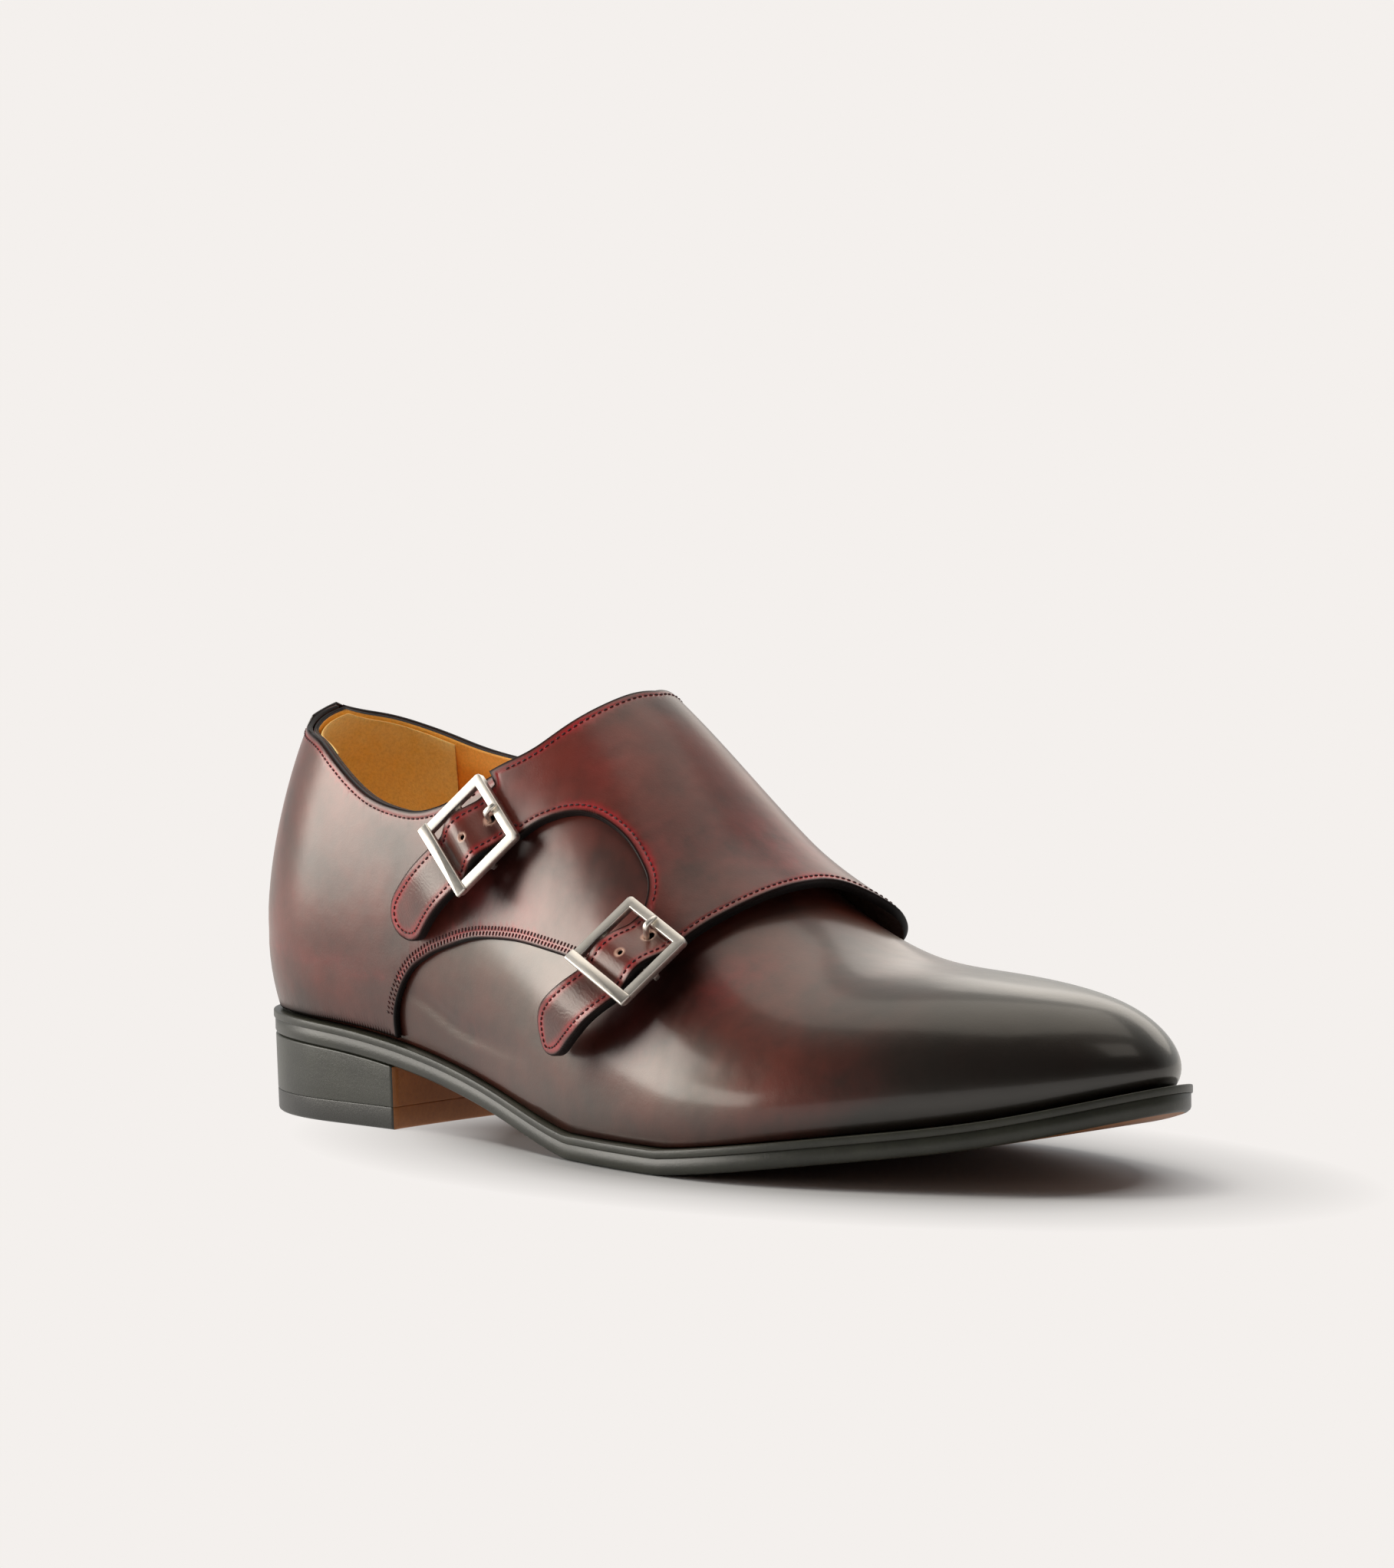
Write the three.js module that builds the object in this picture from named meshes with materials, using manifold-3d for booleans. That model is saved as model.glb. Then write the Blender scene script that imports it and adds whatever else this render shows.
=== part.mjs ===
// A double monk strap shoe for the right foot, standing empty on its sole.
// Every piece is cut and shaped over one last, as a shoemaker does: +X runs to the toe, +Y to the
// inner side of the foot, +Z up, and the floor is at zero. All lengths are in millimetres.
import * as THREE from 'three';
import { mergeVertices } from 'three/addons/utils/BufferGeometryUtils.js';
import Module from 'manifold-3d';

const wasm = await Module();
wasm.setup();

// The last
const LAST_LENGTH = 289.5;
const BALL_WIDTH = 94;
const INSTEP_HEIGHT = 112;
const HEEL_LIFT = 20.4;
const TOE_SPRING = 18.4;
const TOE_TURN = 5;
const HEEL_ROUND = 38;
const TOE_ROUND = 96;
const HEEL_FAN = 46;
const TOE_FAN = 44;
const FAN_BLEND = 26;

// Leather and seams
const GAP = 0.3;
const UPPER_WALL = 2.2;
const QUARTER_LEATHER = 1.4;
const FLAP_LEATHER = 2.4;
const TAB_LEATHER = 1.2;
const INSOLE_LEATHER = 3;

// Sole and heel
const WELT_LEATHER = 2;
const WELT_REACH = 9;
const OUTSOLE_LEATHER = 4.3;
const OUTSOLE_STEP = 0.4;
const HEEL_BREAST = 65;
const HEEL_TAPER = 0.6;
const BREAST_HOLLOW = 3;
const TOP_PIECE = 5.8;

// Straps and buckles
const STRAP_WIDTH = 15;
const STRAP_TAIL = 25.5;
const FLAP_FLARE = 1.6;
const BUCKLE_ACROSS = 23;
const BUCKLE_ALONG = 22.3;
const BUCKLE_BAR = 2.6;
const BUCKLE_THICK = 2;
const BUCKLE_STAND = 1.8;
const PIN_RADIUS = 0.7;
const PRONG_WALL = 0.5;
const PRONG_WIDTH = 1.6;
const PRONG_THICK = 1.3;

// Columns, rows and rounds of the faceted surfaces
const COLLAR_COLUMNS = 25;
const TOE_COLUMNS = 18;
const SIDE_ROWS = 12;

// A table is a list of rows under named columns. Each column becomes a smooth curve over the first.
function table(names, rows) {
  const curves = {};
  names.forEach((name, column) => {
    if (column > 0) curves[name] = smoothCurve(rows.map((row) => row[0]), rows.map((row) => row[column]));
  });
  return curves;
}

// A natural cubic spline through the given values.
function smoothCurve(at, value) {
  const count = at.length;
  const bend = new Array(count).fill(0);
  const share = new Array(count).fill(0);
  for (let i = 1; i < count - 1; i++) {
    const before = at[i] - at[i - 1];
    const after = at[i + 1] - at[i];
    const slopes = (value[i + 1] - value[i]) / after - (value[i] - value[i - 1]) / before;
    const pivot = 2 * (before + after) - before * share[i - 1];
    share[i] = after / pivot;
    bend[i] = (6 * slopes - before * bend[i - 1]) / pivot;
  }
  for (let i = count - 2; i > 0; i--) bend[i] -= share[i] * bend[i + 1];
  return (x) => {
    let i = 0;
    while (i < count - 2 && x > at[i + 1]) i++;
    const step = at[i + 1] - at[i];
    const b = (x - at[i]) / step;
    const a = 1 - b;
    const curved = ((a ** 3 - a) * bend[i] + (b ** 3 - b) * bend[i + 1]) * step * step / 6;
    return a * value[i] + b * value[i + 1] + curved;
  };
}

// Sections of the last, as shares: half widths and lean of the ball width, ridge of the instep
// height, heel and toe of the heel lift and the toe spring. Square, rise and bulge shape a section.
const LAST = table(
  ['share', 'lateral', 'medial', 'ridge', 'lean', 'square', 'rise', 'bulge', 'heel', 'toe'],
  [
    [0.00, 0.277, 0.277, 1.110, 0.000, 0.45, 1.00, 4.6, 1.000, 0.00],
    [0.12, 0.285, 0.285, 1.100, 0.000, 0.45, 1.00, 3.6, 0.950, 0.00],
    [0.25, 0.304, 0.290, 1.170, 0.005, 0.40, 1.00, 3.0, 0.725, 0.00],
    [0.36, 0.350, 0.290, 1.085, 0.015, 0.70, 1.00, 2.4, 0.375, 0.00],
    [0.48, 0.436, 0.330, 0.885, 0.026, 0.95, 1.00, 2.0, 0.020, -0.02],
    [0.60, 0.495, 0.430, 0.608, 0.032, 0.90, 1.00, 2.0, -0.020, 0.01],
    [0.70, 0.489, 0.480, 0.465, 0.032, 0.82, 0.96, 2.0, 0.000, 0.17],
    [0.80, 0.430, 0.455, 0.430, 0.032, 0.72, 0.88, 2.0, 0.000, 0.38],
    [0.90, 0.370, 0.415, 0.405, 0.032, 0.60, 0.82, 2.0, 0.000, 0.62],
    [1.00, 0.330, 0.385, 0.360, 0.032, 0.50, 0.78, 2.0, 0.000, 1.00],
  ],
);

// The sole's edge stands out from the last's feather edge by this much.
const SOLE_EDGE = table(
  ['share', 'reach'],
  [
    [0.00, 3.9],
    [0.20, 3.6],
    [0.35, 2.4],
    [0.50, 3.0],
    [0.65, 4.0],
    [1.00, 4.0],
  ],
);

// The top line, from the back seam round the collar to the throat: how far along the last each
// row lies, and how far round from the ridge towards the feather edge on either side.
const TOP_ROWS = [
  [0.0000, 0.600, 0.600],
  [0.0550, 0.622, 0.620],
  [0.1100, 0.650, 0.640],
  [0.1600, 0.672, 0.670],
  [0.2050, 0.706, 0.708],
  [0.2500, 0.772, 0.757],
  [0.2850, 0.819, 0.792],
  [0.3140, 0.835, 0.806],
  [0.3400, 0.822, 0.798],
  [0.3650, 0.770, 0.762],
  [0.3880, 0.685, 0.695],
  [0.4100, 0.577, 0.590],
  [0.4280, 0.470, 0.475],
  [0.4420, 0.330, 0.335],
  [0.4510, 0.180, 0.180],
  [0.4545, 0.000, 0.000],
];
const TOP_LINE = table(
  ['step', 'along', 'lateral', 'medial'],
  TOP_ROWS.map((row, i) => [i / (TOP_ROWS.length - 1), ...row]),
);

// Heights over the last at which the layers lie.
const STACK = WELT_LEATHER + OUTSOLE_LEATHER + GAP;
const OVER_UPPER = 1.5 * GAP;
const OVER_QUARTER = OVER_UPPER + QUARTER_LEATHER + GAP;
const OVER_FLAP = OVER_QUARTER + FLAP_LEATHER + 2 * GAP;
const EYE_RADIUS = PIN_RADIUS + GAP + PRONG_WALL;
const PIN_HEIGHT = OVER_QUARTER + EYE_RADIUS;
const STRAP_HUMP = PIN_HEIGHT + EYE_RADIUS + 2 * GAP - OVER_QUARTER;

// Where the last stands: along runs 0 to 1 from the heel's back to the toe's tip, around runs -1 at
// the lateral feather edge through 0 on the ridge to 1 at the medial one. Past either end of the
// last, along turns back on the other side, so a piece can run round the heel.
const clamp = THREE.MathUtils.clamp;

function folded(along, side) {
  if (along < 0) return [-along, -side];
  if (along > 1) return [2 - along, -side];
  return [along, side];
}

function station(along) {
  return LAST_LENGTH * (1 - Math.cos(Math.PI * along)) / 2;
}

function axisSide(share) {
  return TOE_TURN * clamp((share - 0.45) / 0.55, 0, 1) ** 2;
}

function seatHeight(share) {
  return STACK + Math.max(0, HEEL_LIFT * LAST.heel(share) + TOE_SPRING * LAST.toe(share));
}

function endRound(x) {
  const heel = clamp(1 - x / HEEL_ROUND, 0, 1);
  const toe = clamp(1 - (LAST_LENGTH - x) / TOE_ROUND, 0, 1);
  return (1 - heel ** 2.1) ** (1 / 2.1) * (1 - toe ** 2.2) ** (1 / 1.9);
}

function feather(alongRaw, sideRaw) {
  const [along, side] = folded(alongRaw, sideRaw);
  const x = station(along);
  const share = x / LAST_LENGTH;
  const width = (side < 0 ? LAST.lateral(share) : LAST.medial(share)) * BALL_WIDTH * endRound(x);
  return new THREE.Vector3(x, axisSide(share) + side * width, seatHeight(share));
}

// The sections fan out round heel and toe, so the ridge stays between the two fans.
function ridgeStation(along) {
  const fromHeel = station(along) - HEEL_FAN;
  const x = HEEL_FAN + (fromHeel + Math.hypot(fromHeel, FAN_BLEND)) / 2;
  const toToe = LAST_LENGTH - TOE_FAN - x;
  return LAST_LENGTH - TOE_FAN - (toToe + Math.hypot(toToe, FAN_BLEND)) / 2;
}

function lastPoint(alongRaw, aroundRaw) {
  const [along, around] = folded(alongRaw, aroundRaw);
  const foot = feather(along, around < 0 ? -1 : 1);
  const ridgeX = ridgeStation(along);
  const share = ridgeX / LAST_LENGTH;
  const ridge = new THREE.Vector3(
    ridgeX,
    axisSide(share) + LAST.lean(share) * BALL_WIDTH,
    LAST.ridge(share) * INSTEP_HEIGHT,
  );
  const slope = (LAST.ridge(share + 0.001) - LAST.ridge(share - 0.001)) * INSTEP_HEIGHT
    / (0.002 * LAST_LENGTH);
  const section = station(along) / LAST_LENGTH;
  const square = LAST.square(section);
  const turn = Math.PI / 2 * (1 - Math.abs(around) ** (1 / square));
  const out = Math.max(0, Math.cos(turn)) ** square;
  const up = Math.sin(turn) ** LAST.rise(section);
  const reach = Math.hypot(foot.x - ridge.x, foot.y - ridge.y);
  const spread = out + 6.75 * up * (1 - up) ** 2 * LAST.bulge(section) / reach;
  const x = ridge.x + (foot.x - ridge.x) * spread;
  const y = ridge.y + (foot.y - ridge.y) * spread;
  const drop = ridge.z + slope * (foot.x - ridge.x) - foot.z;
  return new THREE.Vector3(x, y, ridge.z + slope * (x - ridge.x) - drop * (1 - up));
}

function lastNormal(along, around) {
  const near = 0.001;
  const ahead = lastPoint(along + near, around).sub(lastPoint(along - near, around));
  const over = lastPoint(along, Math.min(1, around + near)).sub(lastPoint(along, Math.max(-1, around - near)));
  return ahead.cross(over).normalize();
}

function overLast(along, around, height) {
  return lastPoint(along, around).addScaledVector(lastNormal(along, around), height);
}

// A point of the feather edge moved outwards in plan, still at the seat's height there.
function besideFeather(along, side, reach) {
  const near = 0.001;
  const ahead = feather(along + near, side);
  const behind = feather(along - near, side);
  const outward = new THREE.Vector2(ahead.y - behind.y, behind.x - ahead.x).multiplyScalar(-side).normalize();
  const edge = feather(along, side);
  const x = edge.x + outward.x * reach;
  return new THREE.Vector3(x, edge.y + outward.y * reach, seatHeight(x / LAST_LENGTH));
}

function solidOf(geometry) {
  const bare = geometry.clone();
  bare.deleteAttribute('normal');
  bare.deleteAttribute('uv');
  const merged = mergeVertices(bare, 1e-4);
  const index = merged.index.array;
  const mesh = new wasm.Mesh({
    numProp: 3,
    vertProperties: Float32Array.from(merged.attributes.position.array),
    triVerts: Uint32Array.from(index),
  });
  return new wasm.Manifold(mesh);
}

function geometryOf(solid) {
  const mesh = solid.getMesh();
  const geometry = new THREE.BufferGeometry();
  const points = new Float32Array(mesh.numVert * 3);
  for (let i = 0; i < mesh.numVert; i++) {
    for (let k = 0; k < 3; k++) points[i * 3 + k] = mesh.vertProperties[i * mesh.numProp + k];
  }
  geometry.setAttribute('position', new THREE.BufferAttribute(points, 3));
  geometry.setIndex(Array.from(mesh.triVerts));
  geometry.computeVertexNormals();
  return geometry;
}

// A closed surface built from named corners: each name is one vertex, however often it is used.
class Shell {
  constructor() {
    this.names = new Map();
    this.points = [];
    this.faces = [];
  }

  corner(name, place) {
    if (!this.names.has(name)) {
      this.names.set(name, this.points.length / 3);
      this.points.push(...place().toArray());
    }
    return this.names.get(name);
  }

  quad(a, b, c, d) {
    if (a !== b && b !== c && a !== c) this.faces.push(a, b, c);
    if (a !== c && c !== d && a !== d) this.faces.push(a, c, d);
  }

  geometry() {
    const made = new THREE.BufferGeometry();
    made.setAttribute('position', new THREE.Float32BufferAttribute(this.points, 3));
    made.setIndex(this.faces);
    made.computeVertexNormals();
    return made;
  }
}

// Where the columns of the upper, insole and sole stand along the last.
const THROAT = TOP_LINE.along(1);
const COLUMNS = [];
for (let i = 0; i <= COLLAR_COLUMNS; i++) COLUMNS.push(TOP_LINE.along(i / COLLAR_COLUMNS));
for (let i = 1; i <= TOE_COLUMNS; i++) COLUMNS.push(THROAT + (1 - THROAT) * i / TOE_COLUMNS);
const LAST_COLUMN = COLUMNS.length - 1;

function topAround(column, side) {
  if (column >= COLLAR_COLUMNS) return 0;
  const step = column / COLLAR_COLUMNS;
  return side < 0 ? TOP_LINE.lateral(step) : TOP_LINE.medial(step);
}

// The upper: vamp, tongue and lining lasted together into one wall, open at the collar and below.
function upperGeometry() {
  const shell = new Shell();
  const vertex = (side, column, row, layer) => {
    const atEnd = column === 0 || column === LAST_COLUMN;
    const onRidge = row === SIDE_ROWS && column >= COLLAR_COLUMNS;
    const owner = atEnd || onRidge ? -1 : side;
    const around = owner * (1 + (topAround(column, owner) - 1) * row / SIDE_ROWS);
    return shell.corner(`${owner} ${column} ${row} ${layer}`, () => {
      if (layer === 'outer') return lastPoint(COLUMNS[column], around);
      if (row === 0) return besideFeather(COLUMNS[column], owner, -UPPER_WALL);
      return overLast(COLUMNS[column], around, -UPPER_WALL);
    });
  };
  for (const side of [-1, 1]) {
    for (let c = 0; c < LAST_COLUMN; c++) {
      for (let r = 0; r < SIDE_ROWS; r++) {
        for (const layer of ['outer', 'inner']) {
          const corners = [[c, r], [c + 1, r], [c + 1, r + 1], [c, r + 1]].map(([i, j]) => vertex(side, i, j, layer));
          if ((side < 0) !== (layer === 'outer')) corners.reverse();
          shell.quad(...corners);
        }
      }
      const rims = c < COLLAR_COLUMNS ? [0, SIDE_ROWS] : [0];
      for (const row of rims) {
        const rim = [[c, 'outer'], [c, 'inner'], [c + 1, 'inner'], [c + 1, 'outer']].map(([i, layer]) => vertex(side, i, row, layer));
        if ((side < 0) !== (row === 0)) rim.reverse();
        shell.quad(...rim);
      }
    }
  }
  return shell.geometry();
}

// A slab between a lateral and a medial edge, joined into one point at either end.
function slab(edgeAt, topOf, bottomOf) {
  const shell = new Shell();
  const vertex = (column, side, layer) => {
    const owner = column === 0 || column === LAST_COLUMN ? -1 : side;
    return shell.corner(`${column} ${owner} ${layer}`, () => {
      const edge = edgeAt(COLUMNS[column], owner, layer);
      const height = layer === 'top' ? topOf(edge.z) : bottomOf(edge.z);
      return new THREE.Vector3(edge.x, edge.y, height);
    });
  };
  for (let c = 0; c < LAST_COLUMN; c++) {
    const [a, b, d, e] = [[c, -1], [c + 1, -1], [c + 1, 1], [c, 1]];
    shell.quad(...[a, b, d, e].map(([i, side]) => vertex(i, side, 'top')));
    shell.quad(...[e, d, b, a].map(([i, side]) => vertex(i, side, 'bottom')));
    for (const side of [-1, 1]) {
      const wall = [vertex(c, side, 'bottom'), vertex(c + 1, side, 'bottom'), vertex(c + 1, side, 'top'), vertex(c, side, 'top')];
      if (side > 0) wall.reverse();
      shell.quad(...wall);
    }
  }
  return shell.geometry();
}

function soleEdge(along, side, inset) {
  const share = station(clamp(along, 0, 1)) / LAST_LENGTH;
  return besideFeather(along, side, SOLE_EDGE.reach(share) - inset);
}

// The insole lies inside the upper's wall, its top edge trimmed to the wall's slope.
function insoleGeometry() {
  const edgeAt = (along, side, layer) => {
    const low = besideFeather(along, side, -(UPPER_WALL + GAP));
    if (layer === 'bottom') return low;
    let [under, over] = [0, 0.4];
    for (let i = 0; i < 24; i++) {
      const half = (under + over) / 2;
      if (lastPoint(along, side * (1 - half)).z < low.z + INSOLE_LEATHER) under = half;
      else over = half;
    }
    const wall = overLast(along, side * (1 - under), -(UPPER_WALL + GAP));
    const middle = axisSide(station(along) / LAST_LENGTH);
    const tighter = Math.abs(wall.y - middle) < Math.abs(low.y - middle);
    const inside = along === 0 ? wall.x > low.x : along === 1 ? wall.x < low.x : tighter;
    return inside ? new THREE.Vector3(wall.x, wall.y, seatHeight(wall.x / LAST_LENGTH)) : low;
  };
  return slab(edgeAt, (seat) => seat + GAP + INSOLE_LEATHER, (seat) => seat + GAP);
}

// The welt is a strip that runs all the way round between the upper and the outsole.
function weltGeometry() {
  const shell = new Shell();
  const stops = [];
  for (let i = 0; i <= LAST_COLUMN; i++) stops.push([COLUMNS[i], -1]);
  for (let i = LAST_COLUMN - 1; i > 0; i--) stops.push([COLUMNS[i], 1]);
  const rings = [['outer', -GAP], ['outer', -GAP - WELT_LEATHER], ['inner', -GAP - WELT_LEATHER], ['inner', -GAP]];
  const vertex = (stop, ring) => {
    const [along, side] = stops[stop % stops.length];
    const [edgeName, height] = rings[ring % rings.length];
    return shell.corner(`${stop % stops.length} ${ring % rings.length}`, () => {
      const edge = edgeName === 'outer' ? soleEdge(along, side, 0) : besideFeather(along, side, -WELT_REACH);
      edge.z += height;
      return edge;
    });
  };
  for (let stop = 0; stop < stops.length; stop++) {
    for (let ring = 0; ring < rings.length; ring++) {
      shell.quad(vertex(stop, ring), vertex(stop, ring + 1), vertex(stop + 1, ring + 1), vertex(stop + 1, ring));
    }
  }
  return shell.geometry();
}

function outsoleGeometry() {
  const edgeAt = (along, side) => soleEdge(along, side, OUTSOLE_STEP);
  return slab(edgeAt, (seat) => seat - GAP - WELT_LEATHER - GAP, (seat) => seat - STACK);
}

// The part's origin is in the middle of the heel's resting face.
const HEEL_MIDDLE = HEEL_BREAST / 2;

// Everything behind the breast line, whose front face is hollowed by a shallow arc.
function behindBreast(solid, top) {
  const half = BALL_WIDTH / 2;
  const far = -BALL_WIDTH;
  const middle = axisSide(0);
  const shape = new THREE.Shape();
  shape.moveTo(far, middle - half);
  shape.lineTo(HEEL_BREAST, middle - half);
  shape.quadraticCurveTo(HEEL_BREAST - 2 * BREAST_HOLLOW, middle, HEEL_BREAST, middle + half);
  shape.lineTo(far, middle + half);
  shape.closePath();
  const tool = new THREE.ExtrudeGeometry(shape, { depth: 2 * top, bevelEnabled: false, curveSegments: 8 });
  tool.translate(0, 0, -top / 2);
  return geometryOf(solid.intersect(solidOf(tool)));
}

function heelInset(height, seat) {
  return OUTSOLE_STEP + HEEL_TAPER * (1 - height / (seat - STACK + OUTSOLE_LEATHER));
}

// The stack of heel lifts leans in a little towards the floor.
function heelGeometry(bottomHeight, topOf) {
  const edgeAt = (along, side, layer) => {
    const seat = seatHeight(station(along) / LAST_LENGTH);
    const height = layer === 'top' ? topOf(seat) : bottomHeight;
    return soleEdge(along, side, heelInset(height, seat));
  };
  const whole = slab(edgeAt, (seat) => Math.max(topOf(seat), bottomHeight + GAP), () => bottomHeight);
  return behindBreast(solidOf(whole), STACK + HEEL_LIFT);
}

// Overlays are cut from flat leather and then lasted. The flat sheet's sides are the two shares of
// the last, drawn FLAT long. It is domed a little while it is cut, which keeps its grid.
const FLAT = 100;
const SHEET = 10;

function dome(x, y) {
  return 4 * ((x / FLAT) ** 2 + (y / FLAT) ** 2);
}

// Lines of a sheet's grid: each stretch starts at its first number and has as many cells as its
// second, and the last number ends the grid.
function gridLines(stretches) {
  const lines = [];
  for (let i = 0; i < stretches.length - 1; i++) {
    const [from, cells] = stretches[i];
    for (let k = 0; k < cells; k++) lines.push(from + (stretches[i + 1][0] - from) * k / cells);
  }
  lines.push(stretches[stretches.length - 1][0]);
  return lines;
}

function flatSheet(alongStretches, aroundStretches) {
  const columns = gridLines(alongStretches);
  const rows = gridLines(aroundStretches);
  const [wide, high] = [columns.length - 1, rows.length - 1];
  const sheet = new THREE.BoxGeometry(wide, high, SHEET, wide, high, 1);
  const place = sheet.attributes.position;
  for (let i = 0; i < place.count; i++) {
    const x = columns[Math.round(place.getX(i) + wide / 2)] * FLAT;
    const y = rows[Math.round(place.getY(i) + high / 2)] * FLAT;
    place.setXYZ(i, x, y, place.getZ(i) + SHEET / 2 + dome(x, y));
  }
  return solidOf(sheet);
}

function cutter(points, holes = []) {
  const scaled = (list) => list.map(([along, around]) => new THREE.Vector2(along * FLAT, around * FLAT));
  const shape = new THREE.Shape(scaled(points));
  for (const hole of holes) shape.holes.push(new THREE.Path(scaled(hole)));
  const block = new THREE.ExtrudeGeometry(shape, { depth: 5 * SHEET, bevelEnabled: false });
  block.translate(0, 0, -2 * SHEET);
  return solidOf(block);
}

function lasted(flat, thicknessAt, liftAt) {
  const geometry = geometryOf(flat);
  const place = geometry.attributes.position;
  for (let i = 0; i < place.count; i++) {
    const along = place.getX(i) / FLAT;
    const around = place.getY(i) / FLAT;
    const level = (place.getZ(i) - dome(place.getX(i), place.getY(i))) / SHEET;
    const height = liftAt(along, around) + clamp(level, 0, 1) * thicknessAt(along, around);
    const point = overLast(along, around, height);
    place.setXYZ(i, point.x, point.y, point.z);
  }
  geometry.computeVertexNormals();
  return geometry;
}

// A smooth line through a few chosen points.
function throughPoints(points, count) {
  const line = new THREE.SplineCurve(points.map(([along, around]) => new THREE.Vector2(along, around)));
  return line.getPoints(count).map((p) => [p.x, p.y]);
}

function topPoints(side, from, to, count) {
  const points = [];
  for (let i = 0; i <= count; i++) {
    const step = from + (to - from) * i / count;
    const around = side < 0 ? TOP_LINE.lateral(step) : TOP_LINE.medial(step);
    points.push([TOP_LINE.along(step), side * around]);
  }
  return points;
}

const FEATHER_ROW = 0.997;
const BACK_SEAM = 0.002;

// Where each buckle sits, which way its strap runs there (degrees from straight down towards the
// heel), how many degrees the buckle tips up at the strap's end, how far the strap's tip bends
// aside, and its tail as a share of the longest.
const STRAPS = [
  { name: 'upper', along: 0.4005, around: -0.731, turn: 42, tip: 10, bend: -6, tail: 1 },
  { name: 'lower', along: 0.5363, around: -0.624, turn: 28, tip: 13, bend: -12, tail: 0.64 },
];

// A buckle's own frame on the last: y runs up the strap to the flap, x across it, z out.
for (const strap of STRAPS) {
  const square = lastNormal(strap.along, strap.around);
  const down = new THREE.Vector3(0, 0, -1).projectOnPlane(square).normalize();
  const turned = THREE.MathUtils.degToRad(strap.turn);
  const level = down.applyAxisAngle(square, -turned).negate();
  strap.origin = lastPoint(strap.along, strap.around).addScaledVector(square, BUCKLE_STAND);
  strap.across = level.clone().cross(square);
  strap.up = level.applyAxisAngle(strap.across, -THREE.MathUtils.degToRad(strap.tip));
  strap.out = strap.across.clone().cross(strap.up);
}

function fromBuckle(strap, point) {
  const offset = point.clone().sub(strap.origin);
  return [offset.dot(strap.across), offset.dot(strap.up)];
}

// The shares at which the strap's underside lies straight under a place in the buckle's frame,
// found in half steps, which settle where the strap bends hard.
function underBuckle(strap, x, y) {
  let [along, around] = [strap.along, strap.around];
  const near = 0.0005;
  const strapPlace = (s, r) => fromBuckle(strap, overLast(s, r, flapLift(s, r)));
  for (let i = 0; i < 40; i++) {
    const here = strapPlace(along, around);
    const ahead = strapPlace(along + near, around);
    const over = strapPlace(along, around + near);
    const [a, b, c, d] = [ahead[0] - here[0], over[0] - here[0], ahead[1] - here[1], over[1] - here[1]];
    const size = 2 * (a * d - b * c) / near;
    along = clamp(along + ((x - here[0]) * d - (y - here[1]) * b) / size, 0, 1);
    around = clamp(around + ((y - here[1]) * a - (x - here[0]) * c) / size, -FEATHER_ROW, FEATHER_ROW);
  }
  return [along, around];
}

function tailEnd(strap) {
  return BUCKLE_ALONG / 2 + STRAP_TAIL * strap.tail;
}

// A strap starts under the flap's end, runs down through the buckle and ends in a round tip.
function strapOutline(strap) {
  const half = STRAP_WIDTH / 2;
  const root = BUCKLE_ALONG / 2 + BUCKLE_BAR / 2;
  const end = tailEnd(strap);
  const round = half - end;
  const aside = (y) => strap.bend * (Math.max(0, -y) / end) ** 2;
  const left = [];
  const right = [];
  const steps = 9;
  for (let i = 0; i <= steps; i++) {
    const y = root + (round - root) * i / steps;
    right.push([half, y]);
    left.unshift([-half, y]);
  }
  const tip = [];
  for (let i = 1; i < 6; i++) {
    const angle = Math.PI * i / 6;
    tip.push([half * Math.cos(angle), round - half * Math.sin(angle)]);
  }
  return [...right, ...tip, ...left].map(([x, y]) => underBuckle(strap, x + aside(y), y));
}

// The prong comes up through a slot between the pin and the bar nearest the flap.
const SLOT_FROM = 2.4;
const SLOT_TO = 8.2;

function prongSlot(strap) {
  const half = PRONG_WIDTH / 2 + 2 * GAP;
  return [[half, SLOT_FROM], [half, SLOT_TO], [-half, SLOT_TO], [-half, SLOT_FROM]]
    .map(([x, y]) => underBuckle(strap, x, y));
}

// The strap follows the buckle's tilt, rises over the pin inside its window and settles at its tip.
function strapRise(point) {
  const { smoothstep } = THREE.MathUtils;
  const half = BUCKLE_ALONG / 2;
  const window = half - 1.4 * BUCKLE_BAR;
  let height = 0;
  for (const strap of STRAPS) {
    const [x, y] = fromBuckle(strap, point);
    const depth = strap.origin.clone().sub(point).dot(strap.out);
    if (Math.abs(depth) > BUCKLE_ALONG || Math.abs(x) > BUCKLE_ACROSS) continue;
    const held = smoothstep(y, -tailEnd(strap), -window) * (1 - smoothstep(y, window, half));
    height += Math.max(0, depth) * held;
    if (Math.abs(y) < window) height += STRAP_HUMP * (1 - (y / window) ** 2) ** 2;
  }
  return height;
}

// The lateral quarter, from the back seam to its curved front edge over the vamp.
const QUARTER_FRONT = [
  [0.314, -FEATHER_ROW],
  [0.316, -0.982],
  [0.324, -0.966],
  [0.336, -0.949],
  [0.353, -0.929],
  [0.376, -0.896],
  [0.409, -0.836],
  [0.442, -0.776],
  [0.474, -0.727],
  [0.500, -0.692],
  [0.518, -0.650],
  [0.528, -0.600],
  [0.539, -0.530],
  [0.544, -0.450],
  [0.535, -0.380],
  [0.508, -0.345],
  [0.470, -0.350],
  [0.440, -0.420],
];

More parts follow.
